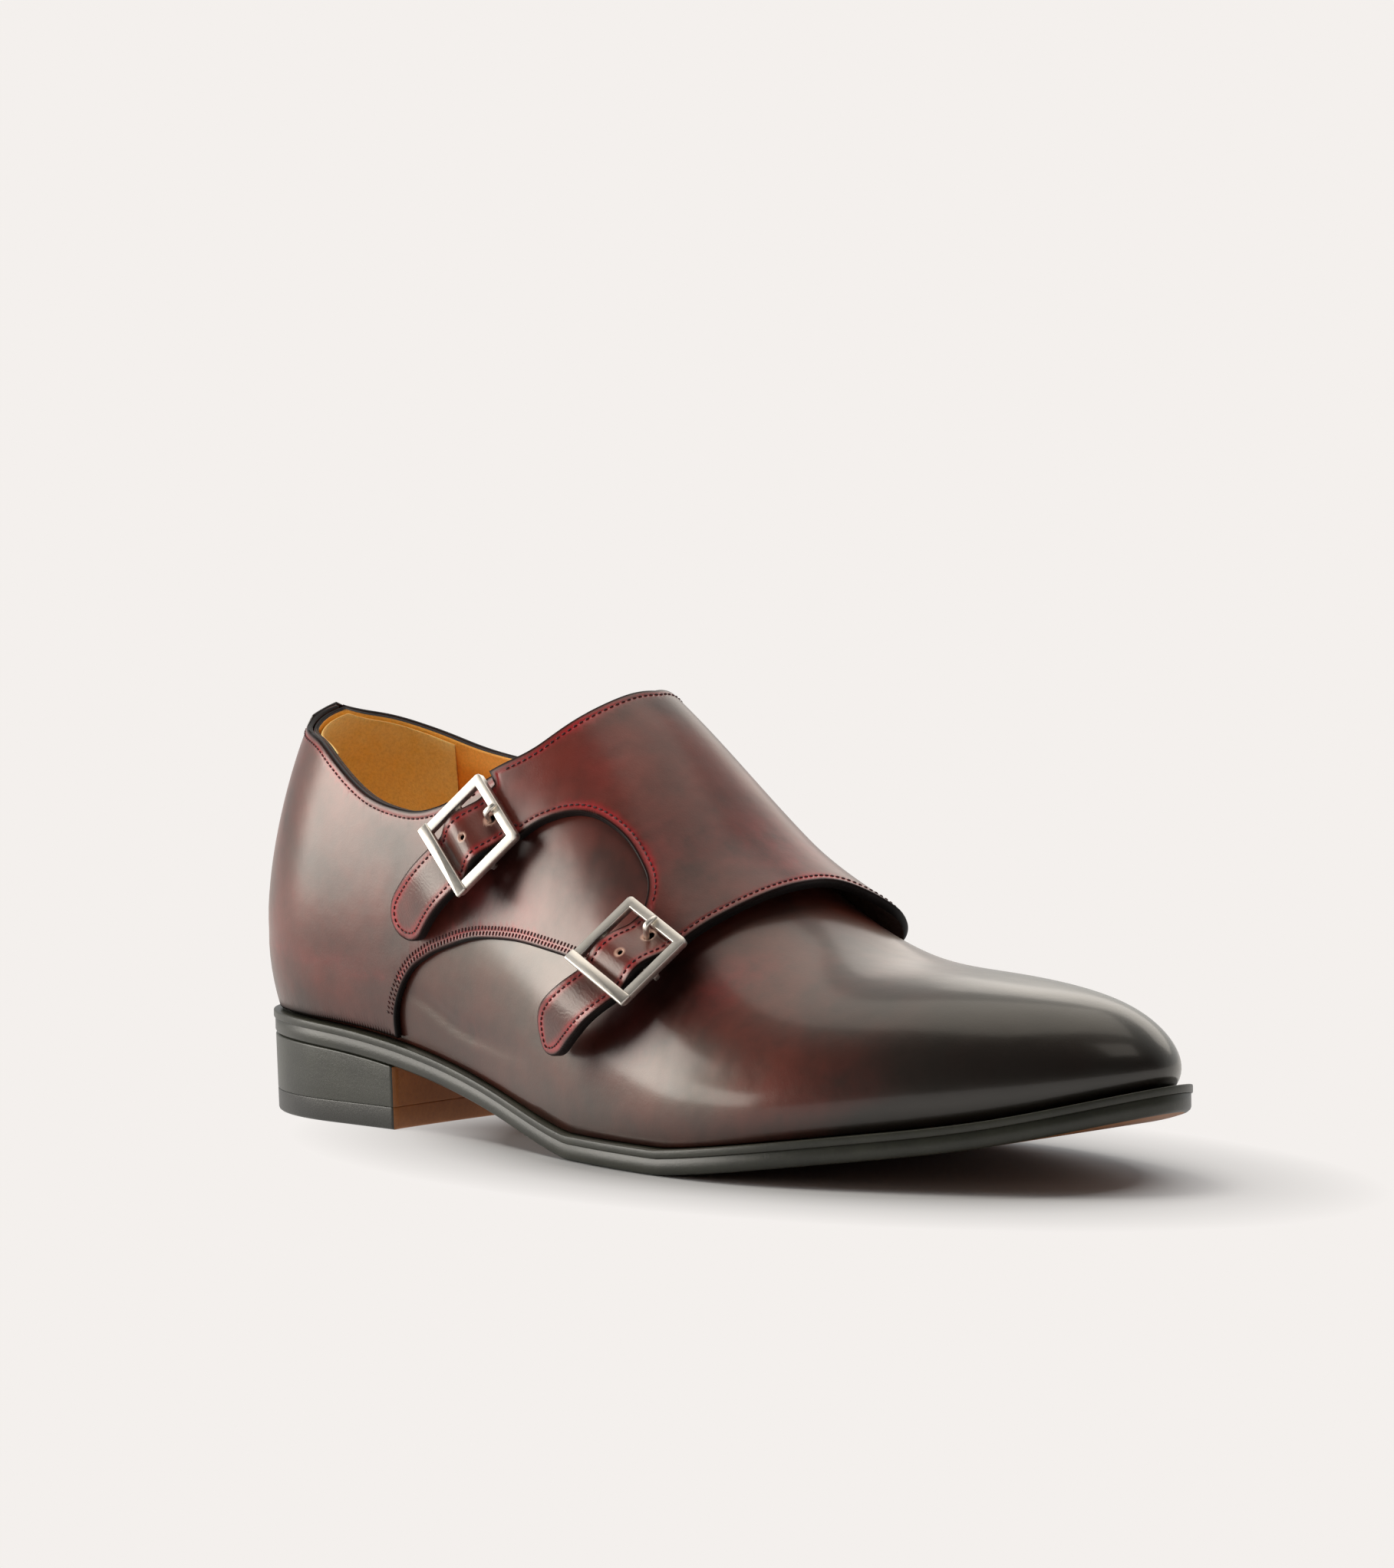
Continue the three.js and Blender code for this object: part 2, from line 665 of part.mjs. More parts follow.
function quarterGeometry() {
  const outline = [
    [BACK_SEAM, -FEATHER_ROW],
    ...throughPoints(QUARTER_FRONT, 48),
    ...topPoints(-1, 0.76, 0.01, 26),
  ];
  const flat = flatSheet([[0, 29], [0.58]], [[-1, 25], [0]]).intersect(cutter(outline));
  return lasted(flat, () => QUARTER_LEATHER, () => OVER_UPPER);
}

// The medial quarter runs on over the instep as one flap, and ends in the two straps.
const CUT_OUT = [
  [0.431, -0.645],
  [0.448, -0.561],
  [0.468, -0.478],
  [0.485, -0.435],
  [0.503, -0.421],
  [0.520, -0.441],
  [0.527, -0.471],
  [0.530, -0.512],
];
const FLAP_FRONT = [
  [0.561, -0.505],
  [0.573, -0.333],
  [0.580, -0.154],
  [0.583, 0.071],
  [0.590, 0.220],
  [0.594, 0.350],
  [0.585, 0.490],
  [0.560, 0.610],
  [0.520, 0.700],
  [0.475, 0.770],
  [0.430, 0.840],
  [0.392, 0.900],
  [0.370, 0.950],
  [0.362, FEATHER_ROW],
];

// Down the medial side and back from the throat the flap settles on the upper, and thins to the
// quarter's single leather.
function settled(along, around) {
  if (around < 0) return 0;
  const { smoothstep } = THREE.MathUtils;
  return 1 - (1 - smoothstep(around, 0.3, 0.75)) * smoothstep(along, 0.36, 0.45);
}

function flapThickness(along, around) {
  return THREE.MathUtils.lerp(FLAP_LEATHER, QUARTER_LEATHER, settled(along, around));
}

function flapLift(along, around) {
  const overVamp = THREE.MathUtils.smoothstep(along, 0.54, 0.59) * THREE.MathUtils.smoothstep(around, -0.4, -0.1);
  const lift = THREE.MathUtils.lerp(OVER_QUARTER + FLAP_FLARE * overVamp, OVER_UPPER, settled(along, around));
  return lift + strapRise(lastPoint(along, around));
}

function flapGeometry() {
  const body = [
    [BACK_SEAM, FEATHER_ROW],
    ...topPoints(1, 0.01, 1, 30),
    ...topPoints(-1, 1, 0.70, 12).slice(1),
    underBuckle(STRAPS[0], 0, BUCKLE_ALONG / 2 - GAP),
    ...throughPoints(CUT_OUT, 20),
    underBuckle(STRAPS[1], 0, BUCKLE_ALONG / 2 - GAP),
    ...throughPoints(FLAP_FRONT, 40),
  ];
  let pattern = cutter(body);
  for (const strap of STRAPS) pattern = pattern.add(cutter(strapOutline(strap)));
  for (const strap of STRAPS) pattern = pattern.subtract(cutter(prongSlot(strap)));
  const columns = [[0, 10], [0.16, 8], [0.34, 14], [0.44, 3], [0.49, 11], [0.57, 2], [0.62]];
  const rows = [[-1, 20], [-0.45, 14], [0.6, 9], [1]];
  const flat = flatSheet(columns, rows).intersect(pattern);
  return lasted(flat, flapThickness, flapLift);
}

// A short tab covers the top of the back seam.
const TAB_HALF = 0.055;
const TAB_TOP = 0.604;
const TAB_FOOT = 0.700;

function backTabGeometry() {
  const outline = throughPoints([
    [-TAB_HALF, -TAB_TOP - 0.03],
    [-TAB_HALF, -TAB_FOOT + 0.03],
    [0, -TAB_FOOT],
    [TAB_HALF, -TAB_FOOT + 0.03],
    [TAB_HALF, -TAB_TOP - 0.03],
  ], 16);
  const flat = flatSheet([[-0.1, 10], [0.1]], [[-0.72, 4], [-0.56]]).intersect(cutter([...outline, [0, -TAB_TOP]]));
  return lasted(flat, () => TAB_LEATHER, () => OVER_QUARTER);
}

// A buckle frame: four bars round a window, and a pin across its middle that the prong turns on.
function frameGeometry() {
  const outer = new THREE.Shape();
  const corner = 1.2;
  const [w, l] = [BUCKLE_ACROSS / 2, BUCKLE_ALONG / 2];
  outer.moveTo(-w + corner, -l);
  outer.lineTo(w - corner, -l);
  outer.quadraticCurveTo(w, -l, w, -l + corner);
  outer.lineTo(w, l - corner);
  outer.quadraticCurveTo(w, l, w - corner, l);
  outer.lineTo(-w + corner, l);
  outer.quadraticCurveTo(-w, l, -w, l - corner);
  outer.lineTo(-w, -l + corner);
  outer.quadraticCurveTo(-w, -l, -w + corner, -l);
  const [iw, il] = [w - BUCKLE_BAR, l - BUCKLE_BAR];
  outer.holes.push(new THREE.Path([
    new THREE.Vector2(-iw, -il),
    new THREE.Vector2(-iw, il),
    new THREE.Vector2(iw, il),
    new THREE.Vector2(iw, -il),
  ]));
  const bars = new THREE.ExtrudeGeometry(outer, { depth: BUCKLE_THICK, bevelEnabled: false, curveSegments: 3 });
  bars.translate(0, 0, OVER_FLAP);
  let solid = solidOf(bars);
  const pin = new THREE.CylinderGeometry(PIN_RADIUS, PIN_RADIUS, 2 * w - BUCKLE_BAR, 12);
  pin.rotateZ(Math.PI / 2);
  pin.translate(0, 0, PIN_HEIGHT);
  solid = solid.add(solidOf(pin));
  for (const side of [-1, 1]) {
    const foot = PIN_HEIGHT - PIN_RADIUS;
    const lug = new THREE.BoxGeometry(BUCKLE_BAR * 0.8, 3 * PIN_RADIUS, OVER_FLAP + BUCKLE_THICK / 2 - foot);
    lug.translate(side * (w - BUCKLE_BAR / 2), 0, (OVER_FLAP + BUCKLE_THICK / 2 + foot) / 2);
    solid = solid.add(solidOf(lug));
  }
  return geometryOf(solid);
}

// A prong: an eye round the pin, and an arm that comes up through the strap to rest on the bar.
function prongGeometry() {
  const rest = OVER_FLAP + BUCKLE_THICK + GAP;
  const tip = BUCKLE_ALONG / 2 - BUCKLE_BAR * 0.15;
  const eye = new THREE.Shape();
  eye.absarc(0, PIN_HEIGHT, EYE_RADIUS, 0, 2 * Math.PI);
  const bore = new THREE.Path();
  bore.absarc(0, PIN_HEIGHT, PIN_RADIUS + GAP, 0, 2 * Math.PI, true);
  eye.holes.push(bore);
  const arm = new THREE.Shape();
  arm.moveTo(PIN_RADIUS + GAP + PRONG_WALL / 3, PIN_HEIGHT - PRONG_WALL);
  arm.lineTo(4.4, PIN_HEIGHT - PRONG_WALL);
  arm.quadraticCurveTo(5.8, PIN_HEIGHT, 6.2, rest - PRONG_THICK / 2);
  arm.quadraticCurveTo(6.6, rest, 8, rest);
  arm.lineTo(tip, rest);
  arm.lineTo(tip, rest + PRONG_THICK / 2);
  arm.quadraticCurveTo(tip - 1, rest + PRONG_THICK, 8, rest + PRONG_THICK);
  arm.quadraticCurveTo(5.4, rest + PRONG_THICK, 4.8, rest);
  arm.quadraticCurveTo(4.2, PIN_HEIGHT + PRONG_WALL, 3, PIN_HEIGHT + PRONG_WALL);
  arm.lineTo(PIN_RADIUS + GAP + PRONG_WALL / 3, PIN_HEIGHT + PRONG_WALL);
  arm.closePath();
  const options = { depth: PRONG_WIDTH, bevelEnabled: false, curveSegments: 6 };
  const whole = solidOf(new THREE.ExtrudeGeometry(eye, options)).add(solidOf(new THREE.ExtrudeGeometry(arm, options)));
  const geometry = geometryOf(whole);
  // The profile's own x and y become the buckle's y and z.
  geometry.applyMatrix4(new THREE.Matrix4().makeBasis(
    new THREE.Vector3(0, 1, 0), new THREE.Vector3(0, 0, 1), new THREE.Vector3(1, 0, 0),
  ));
  geometry.translate(-PRONG_WIDTH / 2, 0, 0);
  return geometry;
}

const FINISH = {
  calf: new THREE.MeshStandardMaterial({ color: '#5a2126', roughness: 0.35, metalness: 0 }),
  vamp: new THREE.MeshStandardMaterial({ color: '#4a1c20', roughness: 0.28, metalness: 0 }),
  lining: new THREE.MeshStandardMaterial({ color: '#c9963f', roughness: 0.7, metalness: 0 }),
  edge: new THREE.MeshStandardMaterial({ color: '#3b3b33', roughness: 0.45, metalness: 0 }),
  sole: new THREE.MeshStandardMaterial({ color: '#8a4a1c', roughness: 0.5, metalness: 0 }),
  rubber: new THREE.MeshStandardMaterial({ color: '#25241f', roughness: 0.6, metalness: 0 }),
  nickel: new THREE.MeshStandardMaterial({ color: '#d8d4cc', roughness: 0.18, metalness: 1 }),
};

function piece(name, geometry, material) {
  const mesh = new THREE.Mesh(geometry, material);
  mesh.name = name;
  return mesh;
}

const shoe = new THREE.Group();
shoe.add(piece('upper', upperGeometry(), FINISH.vamp));
shoe.add(piece('quarter_lateral', quarterGeometry(), FINISH.calf));
shoe.add(piece('quarter_medial_flap', flapGeometry(), FINISH.calf));
shoe.add(piece('back_tab', backTabGeometry(), FINISH.calf));
shoe.add(piece('insole', insoleGeometry(), FINISH.lining));
shoe.add(piece('welt', weltGeometry(), FINISH.edge));
shoe.add(piece('outsole', outsoleGeometry(), FINISH.sole));
shoe.add(piece('heel_stack', heelGeometry(TOP_PIECE + GAP, (seat) => seat - STACK - GAP), FINISH.edge));
shoe.add(piece('heel_top_piece', heelGeometry(0, () => TOP_PIECE), FINISH.rubber));
for (const strap of STRAPS) {
  const buckle = new THREE.Group();
  buckle.add(piece(`buckle_frame_${strap.name}`, frameGeometry(), FINISH.nickel));
  buckle.add(piece(`buckle_prong_${strap.name}`, prongGeometry(), FINISH.nickel));
  buckle.quaternion.setFromRotationMatrix(new THREE.Matrix4().makeBasis(strap.across, strap.up, strap.out));
  buckle.position.copy(strap.origin);
  shoe.add(buckle);
}

shoe.position.x = -HEEL_MIDDLE;

export default shoe;
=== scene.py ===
"""The look of a double monk strap shoe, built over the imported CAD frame. Lengths are in millimetres
and become metres where a mesh is made. +X runs to the toe, +Y to the inner side of the foot, +Z up."""
import math
import bpy
import numpy as np
from mathutils import Matrix, Vector
from mathutils.geometry import delaunay_2d_cdt
from mathutils.kdtree import KDTree


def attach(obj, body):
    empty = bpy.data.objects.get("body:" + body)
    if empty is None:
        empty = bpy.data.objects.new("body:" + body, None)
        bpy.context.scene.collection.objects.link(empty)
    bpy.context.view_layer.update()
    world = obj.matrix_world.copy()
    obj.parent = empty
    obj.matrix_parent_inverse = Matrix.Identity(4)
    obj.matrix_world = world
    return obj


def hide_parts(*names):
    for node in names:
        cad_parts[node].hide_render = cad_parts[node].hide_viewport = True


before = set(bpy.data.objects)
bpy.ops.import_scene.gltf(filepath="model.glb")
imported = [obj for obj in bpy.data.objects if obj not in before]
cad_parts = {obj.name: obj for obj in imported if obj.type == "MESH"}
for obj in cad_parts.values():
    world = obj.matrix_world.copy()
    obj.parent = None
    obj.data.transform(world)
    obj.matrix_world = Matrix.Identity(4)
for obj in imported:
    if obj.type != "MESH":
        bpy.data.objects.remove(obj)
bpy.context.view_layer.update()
scene = bpy.context.scene

# Camera, floor and light
# The shoe stands on a plain pale floor in a bright studio, seen from its outer front quarter. One
# broad soft light hangs overhead, and smaller ones stand to the sides.
CAMERA_TURN, CAMERA_TIP, CAMERA_ROLL = (math.radians(angle) for angle in (44.4, 4.0, -0.73))
CAMERA_DISTANCE, CAMERA_TARGET = 1.446, Vector((0.1114, 0.0, 0.09045))
# The focal length that fits the photograph, in its pixels, over the photograph's height
SENSOR, FOCAL_SHARE = 36, 7552 / 2044
BACKDROP = "#f4f0ed"


def colour(code):
    """An sRGB hex code as linear red, green, blue, alpha."""
    parts = [int(code[i:i + 2], 16) / 255 for i in (1, 3, 5)]
    return [p / 12.92 if p <= 0.04045 else ((p + 0.055) / 1.055) ** 2.4 for p in parts] + [1.0]


def new_tree(block):
    """An empty node tree for a material or the world."""
    block.use_nodes = True
    block.node_tree.nodes.clear()
    return block.node_tree


def node(tree, kind, stops=(), **fields):
    """Adds a node. A field in small letters is one of its settings. The others are its inputs, by name
    or as input_N, and take a value, a colour code, a node or an output. Stops are a ramp's."""
    made = tree.nodes.new("ShaderNode" + kind)
    for name, value in fields.items():
        if name.islower() and not name.startswith("input_"):
            setattr(made, name, value)
            continue
        socket = made.inputs[int(name[6:]) if name.startswith("input_") else name.replace("_", " ")]
        if isinstance(value, bpy.types.Node):
            value = value.outputs[0]
        if isinstance(value, bpy.types.NodeSocket):
            tree.links.new(value, socket)
        else:
            socket.default_value = colour(value) if isinstance(value, str) else value
    points = made.color_ramp.elements if stops else []
    while len(points) < len(stops):
        points.new(0.5)
    for point, (place, value) in zip(points, stops):
        point.position = place
        point.color = colour(value) if isinstance(value, str) else (value, value, value, 1)
    return made


back = Vector((math.sin(CAMERA_TURN) * math.cos(CAMERA_TIP),
               -math.cos(CAMERA_TURN) * math.cos(CAMERA_TIP), math.sin(CAMERA_TIP)))
level = Vector((0, 0, 1)).cross(back).normalized()
upright = back.cross(level)
right = level * math.cos(CAMERA_ROLL) + upright * math.sin(CAMERA_ROLL)
top = upright * math.cos(CAMERA_ROLL) - level * math.sin(CAMERA_ROLL)
place = Matrix((right, top, back)).transposed().to_4x4()
place.translation = CAMERA_TARGET + back * CAMERA_DISTANCE
lens = bpy.data.cameras.new("camera")
lens.sensor_width = SENSOR
lens.lens = FOCAL_SHARE * SENSOR
scene.camera = bpy.data.objects.new("camera", lens)
scene.camera.matrix_world = place
scene.collection.objects.link(scene.camera)

# A round matt white sweep, in rings. Round the shoe it takes the light and the shadow, and further
# off it is the even tone of the backdrop.
FLOOR_SIDES = 96
points, faces = [(0, 0, 0)], []
for k, radius in enumerate((0.15, 0.3, 0.5, 0.9, 2.0, 6.0, 30.0)):
    for i in range(FLOOR_SIDES):
        angle = 2 * math.pi * i / FLOOR_SIDES
        points.append((radius * math.cos(angle), radius * math.sin(angle), 0))
        a, b = 1 + k * FLOOR_SIDES + i, 1 + k * FLOOR_SIDES + (i + 1) % FLOOR_SIDES
        faces.append((0, a, b) if k == 0 else (a - FLOOR_SIDES, a, b, b - FLOOR_SIDES))
sweep = bpy.data.meshes.new("floor")
sweep.from_pydata(points, [], faces)
floor = bpy.data.objects.new("floor", sweep)
scene.collection.objects.link(floor)
matt_white = bpy.data.materials.new("studio_floor")
tree = new_tree(matt_white)
oval = node(tree, "Mapping", Vector=node(tree, "TexCoord").outputs["Object"],
            Location=(-1.154, 0.0, 0.0), Scale=(7.69, 13.3, 1.0))
away = node(tree, "VectorMath", operation="LENGTH", input_0=oval).outputs["Value"]
fade = node(tree, "MapRange", Value=away, From_Min=0.72, From_Max=1.25)
far = node(tree, "ValToRGB", [(0.0, 0.0), (0.45, 0.55), (1.0, 1.0)], Fac=fade)
lit = node(tree, "BsdfDiffuse", Color="#b2b4b7")
even_tone = node(tree, "Emission", Color=BACKDROP, Strength=1.0)
node(tree, "OutputMaterial", Surface=node(tree, "MixShader", Fac=far, input_1=lit, input_2=even_tone))
sweep.materials.append(matt_white)

# The room's own light: pale where it is seen and behind the shoe, and dark on the near side, where
# the shoe only mirrors it.
scene.world = bpy.data.worlds.new("studio")
tree = new_tree(scene.world)
seen = node(tree, "Background", Color=BACKDROP, Strength=1.0)
way = node(tree, "TexCoord").outputs["Generated"]
behind = node(tree, "VectorMath", operation="DOT_PRODUCT", input_0=way, input_1=(-0.48, 0.84, 0.25))
near_to_far = node(tree, "MapRange", Value=behind.outputs["Value"], From_Min=-1.0, From_Max=1.0)
room = node(tree, "ValToRGB", [(0.0, 0.04), (0.42, 0.07), (0.7, 0.4), (0.95, 0.7)], Fac=near_to_far)
mirrored = node(tree, "Background", Color=room, Strength=1.0)
eye = node(tree, "LightPath").outputs["Is Camera Ray"]
node(tree, "OutputWorld", Surface=node(tree, "MixShader", Fac=eye, input_1=mirrored, input_2=seen))

# Name, place, the point that it faces, width and height, power, tint. The polish mirrors all but the
# inner light, which is there to brighten the lining.
LIGHTS = [
    ("overhead", (-0.1, 0.12, 1.25), (0.12, 0.0, 0.05), (1.1, 1.0), 4.0, "#fff6ea"),
    ("left_panel", (-1.155, -0.876, 0.44), (0.05, 0.0, 0.06), (0.86, 0.8), 17.0, "#fffaf2"),
    ("low_panel", (-0.60, -1.30, 0.22), (0.14, 0.0, 0.03), (0.5, 0.32), 2.6, "#fffaf0"),
    ("inner_light", (-0.02, -0.22, 0.95), (0.03, 0.0, 0.06), (0.5, 0.4), 4.2, "#fff6ea"),
    ("back_panel", (-0.15, 1.15, 0.74), (0.15, 0.0, 0.05), (1.3, 0.7), 3.6, "#fff6ee"),
    ("toe_panel", (0.86, -0.26, 1.1), (0.22, 0.0, 0.04), (0.55, 0.5), 1.0, "#fff6ec"),
]
for name, place, aim, size, power, tint in LIGHTS:
    panel = bpy.data.lights.new(name, "AREA")
    panel.shape = "RECTANGLE"
    panel.size, panel.size_y = size
    panel.energy = power
    panel.color = colour(tint)[:3]
    light = bpy.data.objects.new(name, panel)
    light.location = place
    light.rotation_mode = "QUATERNION"
    light.rotation_quaternion = (Vector(aim) - Vector(place)).to_track_quat("-Z", "Y")
    light.visible_glossy = name != "inner_light"
    scene.collection.objects.link(light)
scene.view_settings.view_transform = "Standard"

# The last
# A shoe is shaped over a last, so each piece's mesh is worked out on the same last as its CAD
# solid. A place on it is (along, around): along runs from the heel's back, 0, to the toe's tip, 1,
# and around from the lateral feather edge, -1, over the ridge, 0, to the medial one, 1.
LAST_LENGTH, BALL_WIDTH, INSTEP_HEIGHT = 289.5, 94.0, 112.0
HEEL_LIFT, TOE_SPRING, TOE_TURN, HEEL_BREAST = 20.4, 18.4, 5.0, 65.0
HEEL_ROUND, TOE_ROUND, HEEL_FAN, TOE_FAN, FAN_BLEND = 38.0, 96.0, 46.0, 44.0, 26.0
# The room between two layers, and the leathers under the last
GAP, WELT_LEATHER, OUTSOLE_LEATHER = 0.3, 2.0, 4.3
STACK = WELT_LEATHER + OUTSOLE_LEATHER + GAP
# The step by which a slope is measured, as a share of along or around
NEAR = 0.001


def smooth_curve(at, value):
    """A natural cubic spline through the given values."""
    at, value = np.array(at, float), np.array(value, float)
    count = len(at)
    bend, share = np.zeros(count), np.zeros(count)
    for i in range(1, count - 1):
        before, after = at[i] - at[i - 1], at[i + 1] - at[i]
        slopes = (value[i + 1] - value[i]) / after - (value[i] - value[i - 1]) / before
        pivot = 2 * (before + after) - before * share[i - 1]
        share[i] = after / pivot
        bend[i] = (6 * slopes - before * bend[i - 1]) / pivot
    for i in range(count - 2, 0, -1):
        bend[i] -= share[i] * bend[i + 1]

    def curve(x):
        x = np.asarray(x, float)
        i = np.clip(np.searchsorted(at, x, side="left") - 1, 0, count - 2)
        step = at[i + 1] - at[i]
        b = (x - at[i]) / step
        a = 1 - b
        curved = ((a ** 3 - a) * bend[i] + (b ** 3 - b) * bend[i + 1]) * step * step / 6
        return a * value[i] + b * value[i + 1] + curved
    return curve


def table(names, rows):
    """Rows under named columns. Each column becomes a smooth curve over the first."""
    at, *columns = zip(*rows)
    return {name: smooth_curve(at, column) for name, column in zip(names[1:], columns)}


LAST = table(
    ("share", "lateral", "medial", "ridge", "lean", "square", "rise", "bulge", "heel", "toe"),
    [
        (0.00, 0.277, 0.277, 1.110, 0.000, 0.45, 1.00, 4.6, 1.000, 0.00),
        (0.12, 0.285, 0.285, 1.100, 0.000, 0.45, 1.00, 3.6, 0.950, 0.00),
        (0.25, 0.304, 0.290, 1.170, 0.005, 0.40, 1.00, 3.0, 0.725, 0.00),
        (0.36, 0.350, 0.290, 1.085, 0.015, 0.70, 1.00, 2.4, 0.375, 0.00),
        (0.48, 0.436, 0.330, 0.885, 0.026, 0.95, 1.00, 2.0, 0.020, -0.02),
        (0.60, 0.495, 0.430, 0.608, 0.032, 0.90, 1.00, 2.0, -0.020, 0.01),
        (0.70, 0.489, 0.480, 0.465, 0.032, 0.82, 0.96, 2.0, 0.000, 0.17),
        (0.80, 0.430, 0.455, 0.430, 0.032, 0.72, 0.88, 2.0, 0.000, 0.38),
        (0.90, 0.370, 0.415, 0.405, 0.032, 0.60, 0.82, 2.0, 0.000, 0.62),
        (1.00, 0.330, 0.385, 0.360, 0.032, 0.50, 0.78, 2.0, 0.000, 1.00),
    ],
)


def smoothstep(x, low, high):
    t = np.clip((np.asarray(x, float) - low) / (high - low), 0, 1)
    return t * t * (3 - 2 * t)


def station(along):
    return LAST_LENGTH * (1 - np.cos(np.pi * along)) / 2


def axis_side(share):
    return TOE_TURN * np.clip((share - 0.45) / 0.55, 0, 1) ** 2


def seat_height(share):
    return STACK + np.maximum(0, HEEL_LIFT * LAST["heel"](share) + TOE_SPRING * LAST["toe"](share))


def end_round(x):
    heel = np.clip(1 - x / HEEL_ROUND, 0, 1)
    toe = np.clip(1 - (LAST_LENGTH - x) / TOE_ROUND, 0, 1)
    return (1 - heel ** 2.1) ** (1 / 2.1) * (1 - toe ** 2.2) ** (1 / 1.9)


def folded(along, around):
    """Past either end of the last, along turns back on the other side."""
    along, around = np.broadcast_arrays(np.asarray(along, float), np.asarray(around, float))
    around = np.where((along < 0) | (along > 1), -around, around)
    along = np.where(along < 0, -along, np.where(along > 1, 2 - along, along))
    return along, around


def feather(along, side):
    """The edge where the upper turns under, on one side."""
    along, side = folded(along, side)
    x = station(along)
    share = x / LAST_LENGTH
    width = np.where(side < 0, LAST["lateral"](share), LAST["medial"](share)) * BALL_WIDTH * end_round(x)
    return np.stack([x, axis_side(share) + np.sign(side) * width, seat_height(share)], -1)


def last_point(along, around):
    along, around = folded(along, around)
    foot = feather(along, np.where(around < 0, -1.0, 1.0))
    from_heel = station(along) - HEEL_FAN
    ridge_x = HEEL_FAN + (from_heel + np.hypot(from_heel, FAN_BLEND)) / 2
    to_toe = LAST_LENGTH - TOE_FAN - ridge_x
    ridge_x = LAST_LENGTH - TOE_FAN - (to_toe + np.hypot(to_toe, FAN_BLEND)) / 2
    share = ridge_x / LAST_LENGTH
    ridge_y = axis_side(share) + LAST["lean"](share) * BALL_WIDTH
    ridge_z = LAST["ridge"](share) * INSTEP_HEIGHT
    climb = LAST["ridge"](share + NEAR) - LAST["ridge"](share - NEAR)
    slope = climb * INSTEP_HEIGHT / (2 * NEAR * LAST_LENGTH)
    section = station(along) / LAST_LENGTH
    square = LAST["square"](section)
    turn = np.pi / 2 * (1 - np.abs(around) ** (1 / square))
    out = np.maximum(0, np.cos(turn)) ** square
    up = np.maximum(0, np.sin(turn)) ** LAST["rise"](section)
    reach_x, reach_y = foot[..., 0] - ridge_x, foot[..., 1] - ridge_y
    spread = out + 6.75 * up * (1 - up) ** 2 * LAST["bulge"](section) / np.hypot(reach_x, reach_y)
    x = ridge_x + reach_x * spread
    y = ridge_y + reach_y * spread
    drop = ridge_z + slope * reach_x - foot[..., 2]
    return np.stack([x, y, ridge_z + slope * (x - ridge_x) - drop * (1 - up)], -1)


def last_normal(along, around):
    ahead = last_point(along + NEAR, around) - last_point(along - NEAR, around)
    over = last_point(along, np.minimum(1, around + NEAR)) - last_point(along, np.maximum(-1, around - NEAR))
    normal = np.cross(ahead, over)
    return normal / np.linalg.norm(normal, axis=-1, keepdims=True)


def over_last(along, around, height):
    along, around = np.broadcast_arrays(np.asarray(along, float), np.asarray(around, float))
    return last_point(along, around) + last_normal(along, around) * np.asarray(height, float)[..., None]


def beside_feather(along, side, reach):
    """A point of the feather edge moved outwards in plan, still at the seat's height there."""
    along = np.asarray(along, float)
    side = np.broadcast_to(np.asarray(side, float), along.shape)
    ahead = feather(along + NEAR, side) - feather(along - NEAR, side)
    outward = np.stack([ahead[..., 1], -ahead[..., 0]], -1) * -side[..., None]
    outward /= np.linalg.norm(outward, axis=-1, keepdims=True)
    flat = feather(along, side)[..., :2] + outward * np.asarray(reach, float)[..., None]
    return np.concatenate([flat, seat_height(flat[..., :1] / LAST_LENGTH)], -1)


# Upper
# The vamp, with the counter and the toe puff inside it, is pulled over the last as one wall of
# burgundy calf. The collar's edge is painted black.
UPPER_WALL = 2.2
# The two leathers are pared thin towards the collar, so that they fold into one edge there.
PARED_BELOW, PARED_TO = 0.14, 0.55
# The top line of the collar and the instep, from the heel's back to the ridge in front
TOP_ROWS = [
    (0.0000, 0.600, 0.600), (0.0550, 0.622, 0.620), (0.1100, 0.650, 0.640), (0.1600, 0.672, 0.670),
    (0.2050, 0.706, 0.708), (0.2500, 0.772, 0.757), (0.2850, 0.819, 0.792), (0.3140, 0.835, 0.806),
    (0.3400, 0.822, 0.798), (0.3650, 0.770, 0.762), (0.3880, 0.685, 0.695), (0.4100, 0.577, 0.590),
    (0.4280, 0.470, 0.475), (0.4420, 0.330, 0.335), (0.4510, 0.180, 0.180), (0.4545, 0.000, 0.000),
]
TOP_LINE = table(("step", "along", "lateral", "medial"), [(i / 15, *row) for i, row in enumerate(TOP_ROWS)])


